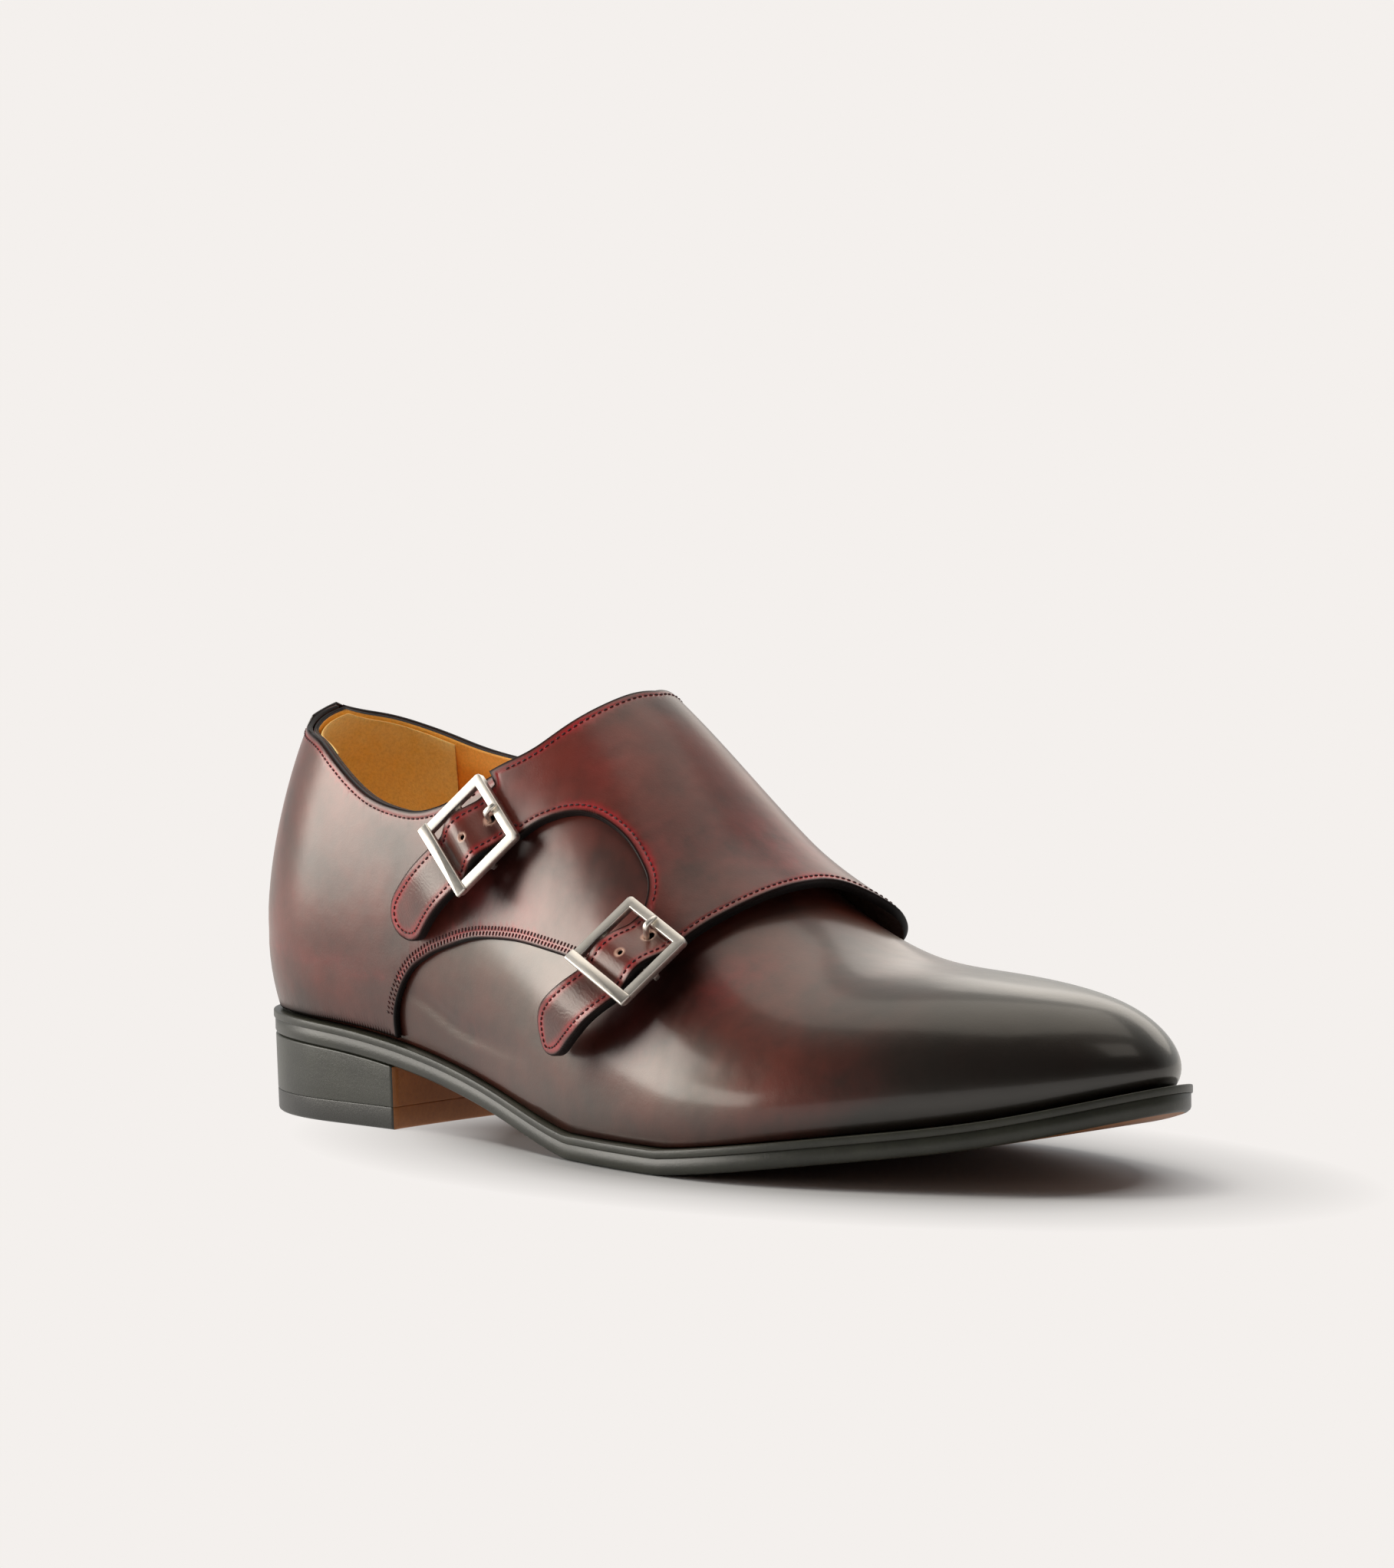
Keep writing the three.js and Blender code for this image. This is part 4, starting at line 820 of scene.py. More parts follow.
FLAP_FRONT = [
    (0.561, -0.505), (0.573, -0.333), (0.580, -0.154), (0.583, 0.071), (0.590, 0.220), (0.594, 0.350),
    (0.585, 0.490), (0.560, 0.610), (0.520, 0.700), (0.475, 0.770), (0.430, 0.840), (0.392, 0.900),
    (0.370, 0.950), (0.362, FEATHER_ROW),
]
FLAP_RED = [
    (167.8, -0.2, 72.9, 20, 0.5), (150, -24, 72, 12, 0.4), (176, 10, 66, 14, 0.1), (130, -18, 90, 14, 0.4),
    (115, -10, 104, 12, 0.4),
]
# Painted shade on the flap's left beside the upper buckle: its shine is taken away there.
FLAP_PAINTED_SHADE = [(110, -25, 87, 13, 0.8)]
for strap in STRAPS:
    where = np.array(strap["along"]), np.array(strap["around"])
    normal = last_normal(*where)
    down = np.array([0, 0, -1.0])
    down = Vector(down - normal * (down @ normal)).normalized()
    down.rotate(Matrix.Rotation(math.radians(-strap["turn"]), 3, Vector(normal)))
    level = -down
    across = level.cross(Vector(normal))
    level.rotate(Matrix.Rotation(math.radians(-strap["tip"]), 3, across))
    strap["origin"] = last_point(*where) + normal * BUCKLE_STAND
    strap["across"], strap["up"] = np.array(across), np.array(level)
    strap["out"] = np.cross(strap["across"], strap["up"])
    strap["end"] = BUCKLE_ALONG / 2 + STRAP_TAIL * strap["tail"]


def from_buckle(strap, points):
    offset = points - strap["origin"]
    return offset @ strap["across"], offset @ strap["up"]


def strap_rise(points):
    """The strap follows the buckle's tilt, rises over the pin in its window and settles at its tip."""
    window = BUCKLE_ALONG / 2 - 1.4 * BUCKLE_BAR
    height = np.zeros(points.shape[:-1])
    for strap in STRAPS:
        x, y = from_buckle(strap, points)
        depth = (strap["origin"] - points) @ strap["out"]
        near = (np.abs(depth) <= BUCKLE_ALONG) & (np.abs(x) <= BUCKLE_ACROSS)
        held = smoothstep(y, -strap["end"], -window) * (1 - smoothstep(y, window, BUCKLE_ALONG / 2))
        hump = np.where(np.abs(y) < window, STRAP_HUMP * (1 - (y / window) ** 2) ** 2, 0)
        height += np.where(near, np.maximum(0, depth) * held + hump, 0)
    return height


def settled(along, around):
    """Where the flap lies down on the upper and thins to a single leather, from 0 to 1."""
    lying = 1 - (1 - smoothstep(around, 0.3, 0.75)) * smoothstep(along, 0.36, 0.45)
    return np.where(np.asarray(around) < 0, 0, lying)


def flap_thickness(along, around):
    return FLAP_LEATHER + (QUARTER_LEATHER - FLAP_LEATHER) * settled(along, around)


def flap_lift(along, around):
    over_vamp = smoothstep(along, 0.54, 0.59) * smoothstep(around, -0.4, -0.1)
    high = OVER_QUARTER + FLAP_FLARE * over_vamp
    return high + (OVER_UPPER - high) * settled(along, around) + strap_rise(last_point(along, around))


def under_buckle(strap, x, y):
    """The places on the last at which the strap's underside lies under (x, y) of the buckle."""
    x, y = (np.asarray(v, float) for v in np.broadcast_arrays(x, y))
    along, around = np.full(x.shape, strap["along"]), np.full(x.shape, strap["around"])
    near = 0.0005

    def strap_place(s, r):
        return from_buckle(strap, over_last(s, r, flap_lift(s, r)))
    for _ in range(40):
        here, ahead, over = (strap_place(along + s, around + r) for s, r in ((0, 0), (near, 0), (0, near)))
        a, b, c, d = ahead[0] - here[0], over[0] - here[0], ahead[1] - here[1], over[1] - here[1]
        size = 2 * (a * d - b * c) / near
        along, around = (
            np.clip(along + ((x - here[0]) * d - (y - here[1]) * b) / size, 0, 1),
            np.clip(around + ((y - here[1]) * a - (x - here[0]) * c) / size, -FEATHER_ROW, FEATHER_ROW),
        )
    return np.stack([along, around], -1)


def strap_outline(strap):
    half, end = STRAP_WIDTH / 2, strap["end"]
    straight = np.linspace(BUCKLE_ALONG / 2 + BUCKLE_BAR / 2, half - end, 40)
    angle = np.linspace(0, np.pi, 26)[1:-1]
    x = np.concatenate([np.full(40, half), half * np.cos(angle), np.full(40, -half)])
    y = np.concatenate([straight, half - end - half * np.sin(angle), straight[::-1]])
    return under_buckle(strap, x + strap["bend"] * (np.maximum(0, -y) / end) ** 2, y)


def prong_slot(strap):
    half = PRONG_WIDTH / 2 + GAP / 2
    angle = np.linspace(0, np.pi, 9)
    x = np.concatenate([half * np.cos(angle), -half * np.cos(angle)])
    y = np.concatenate([SLOT_TO - half + half * np.sin(angle), SLOT_FROM + half - half * np.sin(angle)])
    return under_buckle(strap, x, y)


def punched_hole(strap):
    angle = np.linspace(0, 2 * np.pi, 21)[:-1]
    return under_buckle(strap, HOLE_RADIUS * np.cos(angle), HOLE_AT + HOLE_RADIUS * np.sin(angle))


def near_strap(s, r):
    place = over_last(s, r, OVER_QUARTER)
    chosen = np.zeros(np.shape(s), bool)
    for strap in STRAPS:
        x, y = from_buckle(strap, place)
        chosen |= (np.abs(x) < STRAP_WIDTH) & (y < BUCKLE_ALONG) & (y > -strap["end"] - 4)
    return chosen & (r < -0.2)


strap_roots = [under_buckle(strap, [0.0], [BUCKLE_ALONG / 2 - GAP]) for strap in STRAPS]
flap_body = np.concatenate([
    [(BACK_SEAM, FEATHER_ROW)], top_points(1, 0.01, 1, 130), top_points(-1, 1, 0.70, 60)[1:],
    strap_roots[0], through_points(CUT_OUT, 80), strap_roots[1], through_points(FLAP_FRONT, 170),
])
flap, flap_borders, (s, r, edge, hole, place) = leather_sheet(
    "flap_skin", [flap_body] + [strap_outline(strap) for strap in STRAPS],
    [prong_slot(strap) for strap in STRAPS] + [punched_hole(strap) for strap in STRAPS],
    flap_thickness, flap_lift, QUARTER_MATERIALS, fine=near_strap)
on_strap, strap_way, strap_bent = np.zeros(len(s)), np.zeros(len(s)), np.zeros(len(s))
for strap in STRAPS:
    x, y = from_buckle(strap, place)
    beside = np.abs(x - strap["bend"] * (np.maximum(0, -y) / strap["end"]) ** 2)
    here = (beside < STRAP_WIDTH * 0.55) & (y < BUCKLE_ALONG / 2) & (y > -strap["end"] - 1)
    on_strap = np.where(here, 1 - smoothstep(y, 2, BUCKLE_ALONG / 2), on_strap)
    strap_way = np.where(here, y, strap_way)
    strap_bent = np.where(here, 0.35 + 0.65 * smoothstep(-y, BUCKLE_ALONG / 2, strap["end"]), strap_bent)
unbrushed = np.clip(blobs(place, FLAP_PAINTED_SHADE), 0, 1) * (1 - on_strap)
black_edge, low_dark, red_edge = edge_tones(s, r, edge, on_strap)
# The red is stronger on the straps, and strongest where they bend.
red_edge = red_edge * (0.62 + 0.2 * on_strap + 0.5 * np.maximum(0, strap_bent - 0.35))
beside_hole = np.where(hole < edge - 0.01, 0.95 * (1 - smoothstep(hole, 0.35, 0.95)), 0)
add_marks(flap, shade=np.clip(black_edge + low_dark, 0, 1), unbrushed=np.maximum(unbrushed, black_edge),
          redness=np.clip(red_edge + blobs(place, FLAP_RED) + 0.06, 0, 1), worn=beside_hole,
          strap_way=strap_way, strap_bent=strap_bent)
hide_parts("quarter_medial_flap")

# Back tab
# A short tab of the quarters' calf is sewn over the top of the back seam, where the two quarters
# meet. It is burnished nearly black, with a little red left at its edge.
TAB_LEATHER, TAB_HALF, TAB_TOP, TAB_FOOT, TAB_CORNER = 1.2, 0.055, 0.604, 0.700, 0.03
tab_sides = [(-TAB_HALF, -TAB_TOP - TAB_CORNER), (-TAB_HALF, -TAB_FOOT + TAB_CORNER), (0, -TAB_FOOT),
             (TAB_HALF, -TAB_FOOT + TAB_CORNER), (TAB_HALF, -TAB_TOP - TAB_CORNER)]
tab_loop = np.concatenate([through_points(tab_sides, 48), [(0, -TAB_TOP)]])
tab, _, (_, _, edge, _, _) = leather_sheet(
    "back_tab_skin", [tab_loop], [], even(TAB_LEATHER), even(OVER_QUARTER), QUARTER_MATERIALS,
    grid=1.0, groove=False)
add_marks(tab, shade=0.6 + 0.35 * (1 - smoothstep(edge, 0.3, 0.75)),
          redness=0.15 + 0.4 * np.exp(-(edge / 2.0) ** 2))
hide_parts("back_tab")

# Stitching
# Dark red polyester thread, waxed to a low sheen, holds every edge down: one row inside the flap, the
# collar and the straps, and two rows of slanting stitches along the quarter's front.
THREAD = plain_leather("waxed_thread", "#2a0a0c", "#4a1216", 300, 0.45, 3000, 0.4)
THREAD_RADIUS, EDGE_PITCH, EDGE_STITCH = 0.21, 1.75, 1.25
SEAM_ROWS, SEAM_PITCH, SEAM_STITCH, SEAM_SLANT = (1.5, 2.9), 1.35, 1.3, 72.0


def ring_faces(rings, stops, ends="open", start=0):
    """Quads between neighbouring rings of points. The ends are open, capped, or joined to each other."""
    faces = []
    for k in range(rings if ends == "joined" else rings - 1):
        m = (k + 1) % rings
        for i in range(stops):
            j = (i + 1) % stops
            faces.append((k * stops + i, k * stops + j, m * stops + j, m * stops + i))
    if ends == "capped":
        faces += [tuple(range(stops))[::-1], tuple((rings - 1) * stops + i for i in range(stops))]
    return [tuple(start + v for v in face) for face in faces]


def stitch_frames(borders, inset, lift, thickness, wanted, pitch):
    """Where the stitches of a row stand: the middle, the way along and the way out of each."""
    frames = []
    for border in borders:
        line = moved_in(border, lift, inset, 3)
        base = on_sheet(line, lift)
        place = on_sheet(line, lambda s, r: lift(s, r) + thickness(s, r))
        good = wanted(*border.T) & (nearest(base, on_sheet(border, lift)) > inset * 0.9)
        ahead, over = (on_sheet(line + step, lift) - base for step in ((0.0004, 0), (0, 0.0004)))
        out = np.cross(ahead, over)
        out /= np.linalg.norm(out, axis=1)[:, None]
        count = len(line)
        start = next((i for i in range(count) if good[i] and not good[i - 1]), 0)
        run = []
        for k in [(start + n) % count for n in range(count)] + [None]:
            if k is not None and good[k]:
                run.append(k)
                continue
            if len(run) > 4:
                path = place[run]
                length = np.concatenate([[0], np.cumsum(np.linalg.norm(np.diff(path, axis=0), axis=1))])
                middles = np.arange(pitch * 0.6, length[-1] - pitch * 0.4, pitch)
                reads = (path, middles), (path, middles - 0.5), (path, middles + 0.5), (out[run], middles)
                middle, before, after, normal = (
                    np.stack([np.interp(at, length, column) for column in values.T], -1)
                    for values, at in reads)
                frames += zip(middle, after - before, normal)
            run = []
    return frames


def stitches(name, frames, length, slant=0.0):
    """One short loop of thread for each frame, sunk at both ends into its needle holes."""
    steps, sides = 9, 7
    u = np.linspace(-1, 1, steps)[:, None]
    swell = THREAD_RADIUS * (np.sqrt(np.maximum(0, 1 - u ** 6)) * 0.9 + 0.1)
    arch = THREAD_RADIUS * (0.35 - 1.5 * u ** 4)
    turn = np.linspace(0, 2 * np.pi, sides + 1)[:-1]
    middles, along, out = np.array(frames).transpose(1, 0, 2)
    out /= np.linalg.norm(out, axis=1)[:, None]
    along -= out * (along * out).sum(1)[:, None]
    along /= np.linalg.norm(along, axis=1)[:, None]
    beside = np.cross(out, along)
    cos, sin = math.cos(math.radians(slant)), math.sin(math.radians(slant))
    along, beside = along * cos + beside * sin, beside * cos - along * sin
    points = middles[:, None, None]
    for part, way in ((u * np.ones(sides) * length / 2, along), (swell * np.cos(turn), beside),
                      (arch + swell * np.sin(turn), out)):
        points = points + part[None, ..., None] * way[:, None, None]
    faces = []
    for n in range(len(frames)):
        faces += ring_faces(steps, sides, "capped", n * steps * sides)
    return make_piece(name, points.reshape(-1, 3), faces, [THREAD])


def beside_collar(s, r):
    return nearest(over_last(s, r, 0.0), over_last(*top_points(-1, 0, 1, 300).T, 0.0)) < 0.8


def quarter_front(s, r):
    return ~beside_collar(s, r) & (r > -0.985) & (s > 0.30)


def quarter_collar(s, r):
    return beside_collar(s, r) & (s > 0.012) & (s < 0.385)


def flap_edge(s, r):
    """All but the back seam, the feather edge and the corner beside the upper buckle."""
    corner = over_last(*top_points(-1, 0.70, 0.70, 1)[0], 0.0)
    return (s > 0.03) & (r < 0.97) & (nearest(over_last(s, r, 0.0), [corner]) > 4.5)


for number, inset in enumerate(SEAM_ROWS):
    rows = stitch_frames(quarter_borders, inset, quarter_lift, quarter_thickness, quarter_front, SEAM_PITCH)
    stitches(f"quarter_seam_stitches_{number + 1}", rows, SEAM_STITCH, SEAM_SLANT)
rows = stitch_frames(quarter_borders, STITCH_ROW, quarter_lift, quarter_thickness, quarter_collar, EDGE_PITCH)
stitches("quarter_collar_stitches", rows, EDGE_STITCH)
rows = stitch_frames(flap_borders, STITCH_ROW, flap_lift, flap_thickness, flap_edge, EDGE_PITCH)
stitches("flap_stitches", rows, EDGE_STITCH)

# Welt
# The welt is a leather strip sewn round the upper's foot. It is trimmed together with the outsole, and
# the edge is inked and burnished with wax and a hot iron, so it is dark with a satin shine.
SOLE_EDGE_WAX = plain_leather("sole_edge_wax", "#26271f", "#33342a", 70, 0.38, 1200, 0.25)
SOLE_EDGE = table(("share", "reach"), [(0, 3.9), (0.2, 3.6), (0.35, 2.4), (0.5, 3.0), (0.65, 4.0), (1, 4.0)])
WELT_REACH = 9.0
# Inset from the sole's edge, and height above the feather edge
WELT_EDGE = [(0.3, -GAP), (0.08, -GAP - 0.1), (0.0, -GAP - 0.35), (0.0, -GAP - 1.75), (0.06, -GAP - 1.93),
             (0.2, -GAP - WELT_LEATHER)]
# A closed walk round the sole: forwards on the lateral side, back on the medial one
SOLE_COLUMNS = np.linspace(0, 1, 241)
SOLE_ALONG = np.concatenate([SOLE_COLUMNS, SOLE_COLUMNS[-2:0:-1]])
SOLE_SIDE = np.where(np.arange(len(SOLE_ALONG)) < len(SOLE_COLUMNS), -1.0, 1.0)


def sole_edge(along, side, inset):
    share = station(np.clip(along, 0, 1)) / LAST_LENGTH
    return beside_feather(along, side, SOLE_EDGE["reach"](share) - inset)


rings = [sole_edge(SOLE_ALONG, SOLE_SIDE, inset) + [0, 0, height] for inset, height in WELT_EDGE]
inner_edge = beside_feather(SOLE_ALONG, SOLE_SIDE, -WELT_REACH)
rings += [inner_edge + [0, 0, height] for height in (-GAP - WELT_LEATHER, -GAP)]
faces = [face[::-1] for face in ring_faces(len(rings), len(SOLE_ALONG), "joined")]
welt = make_piece("welt_strip", np.concatenate(rings), faces, [SOLE_EDGE_WAX])
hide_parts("welt")

# Outsole
# The outsole is thick oak-bark leather, cut from one slab and sewn to the welt. Its edge is waxed
# black, and its underside is smooth tan, seen in the waist and on the breast of the heel.
SOLE_TAN = plain_leather("sole_tan", "#a86a34", "#935826", 50, 0.5, 1000, 0.3)
OUTSOLE_STEP, CAP_STRIPS = 0.4, 8
OUTSOLE_EDGE = [(0.1, -GAP - WELT_LEATHER - 0.02), (0.0, -GAP - WELT_LEATHER - 0.12), (0.0, -STACK + 1.1),
                (0.25, -STACK + 0.5), (0.9, -STACK + 0.08), (1.6, -STACK)]


def slab_piece(name, rings, materials, cap_kinds):
    """A slab from rings of edge points, lateral then medial, closed above and below by strips."""
    stops = len(rings[0])
    half = (stops + 2) // 2
    points = list(np.concatenate(rings))
    faces = [face[::-1] for face in ring_faces(len(rings), stops)]
    kinds = [0] * len(faces)
    caps = (rings[0], 0, cap_kinds[0], 1), (rings[-1], len(points) - stops, cap_kinds[1], -1)
    for ring, start, kind, turn in caps:
        index = np.zeros((half, CAP_STRIPS + 1), int)
        for i in range(half):
            other = (stops - i) % stops
            for j in range(CAP_STRIPS + 1):
                if j == 0:
                    index[i, j] = start + i
                elif j == CAP_STRIPS or other == i:
                    index[i, j] = start + other
                else:
                    index[i, j] = len(points)
                    points.append(ring[i] + (ring[other] - ring[i]) * j / CAP_STRIPS)
        for i in range(half - 1):
            for j in range(CAP_STRIPS):
                corners = (index[i, j], index[i + 1, j], index[i + 1, j + 1], index[i, j + 1])
                corners = without_repeats(corners)
                if len(corners) > 2:
                    faces.append(corners[::turn])
                    kinds.append(kind)
    return make_piece(name, points, faces, materials, kinds)


rings = [sole_edge(SOLE_ALONG, SOLE_SIDE, OUTSOLE_STEP + inset) + [0, 0, height]
         for inset, height in OUTSOLE_EDGE]
outsole = slab_piece("outsole_slab", rings, [SOLE_EDGE_WAX, SOLE_TAN], (1, 1))
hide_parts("outsole")

# Insole
# The insole is a board of the same smooth tan leather as the lining, lying inside the upper's foot.
INSOLE_LEATHER, INSOLE_ROOM = 3.0, 0.6
INSOLE_EDGE = [(0.9, GAP + INSOLE_LEATHER - 0.1), (0.35, GAP + INSOLE_LEATHER - 0.4),
               (0.0, GAP + INSOLE_LEATHER - 1.2), (0.0, GAP)]
rings = [beside_feather(SOLE_ALONG, SOLE_SIDE, -(UPPER_WALL + GAP + inset + INSOLE_ROOM)) + [0, 0, height]
         for inset, height in INSOLE_EDGE]
insole = slab_piece("insole_board", rings, [LINING_LEATHER, LINING_LEATHER], (1, 0))
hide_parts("insole")

# Heel
# The heel is a stack of leather lifts, scoured and waxed flush, so that it reads as one smooth block.
# Under it is a top piece of dull black rubber. Both end at a hollowed breast.
HEEL_RUBBER = plain_leather("heel_rubber", "#22221e", "#2c2c27", 80, 0.42, 1800, 0.3)
HEEL_TAPER, BREAST_HOLLOW, TOP_PIECE = 0.6, 3.0, 5.8
HEEL_STOPS, BREAST_STOPS = 90, 25
# A hair's room keeps the stack's ends off the faces that they meet.
HAIR = 0.02
# Share of the height, and inset from the heel's side
LIFT_RINGS = [(0, 0.14), (0.01, 0.03), (0.03, 0), (0.35, 0), (0.68, 0), (0.97, 0), (0.99, 0.03), (1, 0.12)]
RUBBER_RINGS = [(0, 0.5), (0.05, 0.15), (0.12, 0), (0.94, 0), (0.98, 0.03), (1, 0.12)]


def breast_x(y):
    t = (y - axis_side(0) + BALL_WIDTH / 2) / BALL_WIDTH
    return HEEL_BREAST - 4 * BREAST_HOLLOW * t * (1 - t)


def breast_corner(side):
    """How far along the last the sole's edge meets the breast line."""
    low, high = 0.2, 0.45
    for _ in range(40):
        half = (low + high) / 2
        edge = sole_edge(np.array([half]), side, OUTSOLE_STEP)[0]
        low, high = (half, high) if edge[0] < breast_x(edge[1]) else (low, half)
    return low


def heel_piece(name, rings_at, span, materials):
    """The heel behind the breast line, as rings from the foot to the top that span gives for a seat."""
    walk = np.concatenate([np.linspace(breast_corner(-1.0), 0, HEEL_STOPS),
                           -np.linspace(0, breast_corner(1.0), HEEL_STOPS)[1:]])
    side = np.where(walk >= 0, -1.0, 1.0)
    walk = np.abs(walk)
    rings = []
    for share, inset in rings_at:
        seat = seat_height(station(walk) / LAST_LENGTH)
        bottom, top = span(seat)
        height = bottom + (top - bottom) * share
        taper = HEEL_TAPER * (1 - height / (seat - STACK + OUTSOLE_LEATHER))
        edge = sole_edge(walk, side, OUTSOLE_STEP + taper + inset)
        edge[:, 2] = height
        across = np.linspace(edge[-1, 1], edge[0, 1], BREAST_STOPS)[1:-1]
        front = np.stack([breast_x(across) - inset, across, np.zeros(len(across))], -1)
        bottom, top = span(seat_height(front[:, 0] / LAST_LENGTH))
        front[:, 2] = bottom + (top - bottom) * share
        for corner in (0, -1):
            edge[corner, 0] = breast_x(edge[corner, 1]) - inset * 0.5
        rings.append(np.concatenate([edge, front]))
    stops, final = len(rings[0]), (len(rings) - 1) * len(rings[0])
    faces, kinds = [], []
    for start in range(0, final, stops):
        for i in range(stops):
            j = (i + 1) % stops
            faces.append((start + i, start + stops + i, start + stops + j, start + j))
            kinds.append(0 if i < len(walk) - 1 else 1)
    middle = final + stops
    for i in range(stops):
        j = (i + 1) % stops
        faces += [(middle, i, j), (middle + 1, final + j, final + i)]
        kinds += [0, 0]
    points = np.concatenate([*rings, [rings[0].mean(0), rings[-1].mean(0)]])
    return make_piece(name, points, faces, materials, kinds)


heel = heel_piece("heel_lifts", LIFT_RINGS, lambda seat: (TOP_PIECE + HAIR, seat - STACK - HAIR),
                  [SOLE_EDGE_WAX, SOLE_TAN])
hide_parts("heel_stack")
top_piece = heel_piece("heel_rubber_piece", RUBBER_RINGS, lambda seat: (0.0, TOP_PIECE),
                       [HEEL_RUBBER, SOLE_TAN])
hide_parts("heel_top_piece")

# Buckles
# Each buckle is a cast brass frame of four bevelled bars with a pin across its middle, and a prong
# that turns on the pin and rests on the bar nearest the flap. Both are polished and nickel plated.
BUCKLE_THICK, END_BAR, BEVEL = 2.0, 3.1, 0.24
OVER_FLAP = OVER_QUARTER + FLAP_LEATHER + 2 * GAP
# Bright nickel: nearly a mirror, with the faint ripple and fine rub marks of hand polishing.
NICKEL = bpy.data.materials.new("bright_nickel")
tree = new_tree(NICKEL)
place = node(tree, "TexCoord").outputs["Object"]
ripple = node(tree, "TexNoise", Vector=place, Scale=260.0, Detail=2.0)
rubs = node(tree, "TexNoise", Vector=place, Scale=1500.0, Detail=4.0)
tone = node(tree, "Mix", data_type="RGBA", input_0=ripple, input_6="#e3ddd3", input_7="#efeae2").outputs[2]
rough = node(tree, "ValToRGB", [(0.3, 0.34), (0.75, 0.44)], Fac=rubs)
bump = node(tree, "Bump", Height=ripple, Strength=0.1, Distance=0.00008)
node(tree, "OutputMaterial", Surface=node(tree, "BsdfPrincipled", Base_Color=tone, Roughness=rough,
                                          Normal=bump, Metallic=1.0))


def corner_loop(wide, long, corner, height, each=6, x=0.0, y=0.0):
    """A rectangle with round corners at a height, the same number of points whatever its size."""
    loop = []
    for cx, cy, start in ((1, 1, 0), (-1, 1, 90), (-1, -1, 180), (1, -1, 270)):
        for k in range(each + 1):
            angle = math.radians(start + 90 * k / each)
            loop.append((x + cx * (wide - corner) + corner * math.cos(angle),
                         y + cy * (long - corner) + corner * math.sin(angle), height))
    return np.array(loop)


def tubes(*parts):
    """Points and faces of several tubes, each given as its rings and what its ends are."""
    points, faces = [], []
    for rings, ends in parts:
        faces += ring_faces(len(rings), len(rings[0]), ends, len(points))
        points.extend(np.concatenate(rings))
    return np.array(points), faces


def pin_ring(x, radius, stops):
    """A ring round the pin's axis."""
    turn = np.linspace(0, 2 * np.pi, stops + 1)[:-1]
    return np.column_stack([np.full(stops, x), radius * np.cos(turn), PIN_HEIGHT + radius * np.sin(turn)])


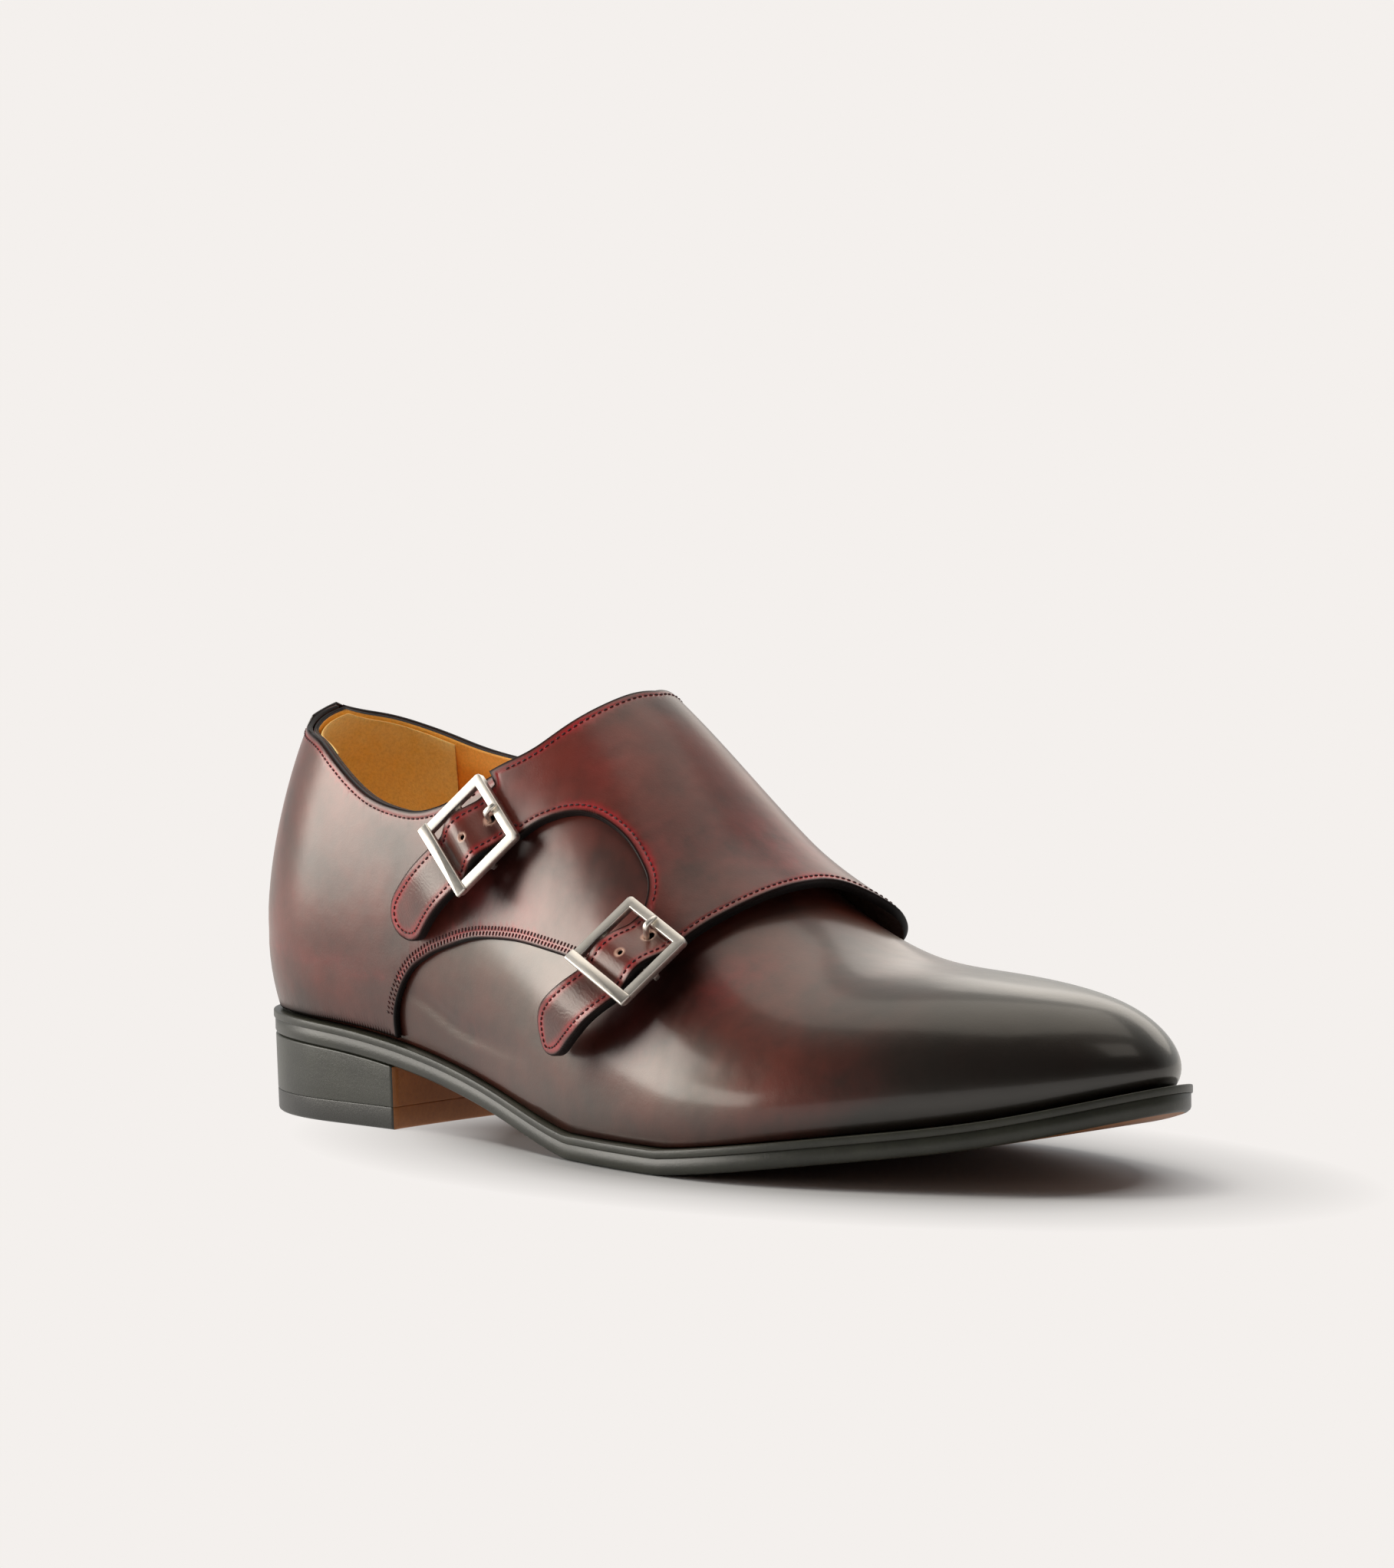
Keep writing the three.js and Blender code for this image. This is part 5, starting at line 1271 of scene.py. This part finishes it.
def buckle_frame():
    wide, long, low, high = BUCKLE_ACROSS / 2, BUCKLE_ALONG / 2, OVER_FLAP, OVER_FLAP + BUCKLE_THICK
    # Once round a bar's section: up the outside, over, down the inside
    outside = [(BEVEL, low), (BEVEL * 0.3, low + BEVEL * 0.3), (0, low + BEVEL), (0, high - BEVEL),
               (BEVEL * 0.3, high - BEVEL * 0.3), (BEVEL, high)]
    section = outside + [(BUCKLE_BAR - inset, height) for inset, height in outside[::-1]]
    bars = [corner_loop(wide - inset, long - inset, max(0.25, 1.2 - inset * 0.4), height)
            for inset, height in section]
    # A round pin from side bar to side bar, and a lug under each that holds it
    ends = (-wide + BUCKLE_BAR / 2, wide - BUCKLE_BAR / 2)
    pin = [pin_ring(x, PIN_RADIUS, 16) for x in ends]
    foot = PIN_HEIGHT - PIN_RADIUS
    lug = ((foot, 0.7), (foot + 0.3, 1.0), (high - BUCKLE_THICK / 2, 1.0))
    lugs = [[corner_loop(BUCKLE_BAR * 0.3 * grow, 1.1 * PIN_RADIUS * grow, 0.2, height, 3, x)
             for height, grow in lug] for x in ends]
    # The end bar under the strap's tail stands a little proud of the side bars.
    end_middle = -long + END_BAR / 2 - 0.2
    end_section = ((0.2, high - 0.9), (0, high - 0.7), (0, high + 0.2), (0.22, high + 0.42))
    end_bar = [corner_loop(wide + 0.35 - inset, END_BAR / 2 - inset, 0.35, height, y=end_middle)
               for inset, height in end_section]
    return tubes((bars, "joined"), *((rings, "capped") for rings in (pin, *lugs, end_bar)))


def buckle_prong():
    rest, tip = OVER_FLAP + BUCKLE_THICK + GAP, BUCKLE_ALONG / 2 - BUCKLE_BAR * 0.15
    # From the eye up through the strap's slot, then flat over the bar: y and height
    line = through_points([
        (1.2, PIN_HEIGHT), (3.6, PIN_HEIGHT - 0.3), (5.2, PIN_HEIGHT - 0.1), (6.4, rest - 1.6),
        (7.0, rest - 0.1), (7.8, rest + 0.55), (9.4, rest + 0.62), (tip, rest + 0.35)], 34)
    half_high = np.interp(line[:, 0], [1.2, 4, 6.5, tip - 1, tip], [0.5, 0.55, 0.62, 0.5, 0.3])
    half_wide = np.interp(line[:, 0], [1.2, 5, tip - 1.5, tip], [0.8, 0.8, 0.72, 0.55])
    ahead = np.gradient(line, axis=0)
    ahead /= np.linalg.norm(ahead, axis=1)[:, None]
    turn = np.linspace(0, 2 * np.pi, 15)[:-1]
    cos, sin = (np.sign(v) * np.abs(v) ** 0.6 for v in (np.cos(turn), np.sin(turn)))
    body = [np.column_stack([wide * cos, y - dz * high * sin, z + dy * high * sin])
            for (y, z), (dy, dz), high, wide in zip(line, ahead, half_high, half_wide)]
    # The eye that turns on the pin: x and radius once round its section
    inner, middle = PIN_RADIUS + GAP, PIN_RADIUS + GAP + PRONG_WALL / 2
    half_eye = [(-0.7, inner), (-0.8, middle), (-0.7, EYE_RADIUS)]
    eye = [pin_ring(x, radius, 24) for x, radius in half_eye + [(-x, radius) for x, radius in half_eye[::-1]]]
    return tubes((body, "capped"), (eye, "joined"))


for strap in STRAPS:
    buckle_axes = np.stack([strap["across"], strap["up"], strap["out"]])
    for part, (points, faces) in (("frame", buckle_frame()), ("prong", buckle_prong())):
        made = make_piece(f"{part}_{strap['name']}", strap["origin"] + points @ buckle_axes, faces, [NICKEL])
        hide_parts(f"buckle_{part}_{strap['name']}")
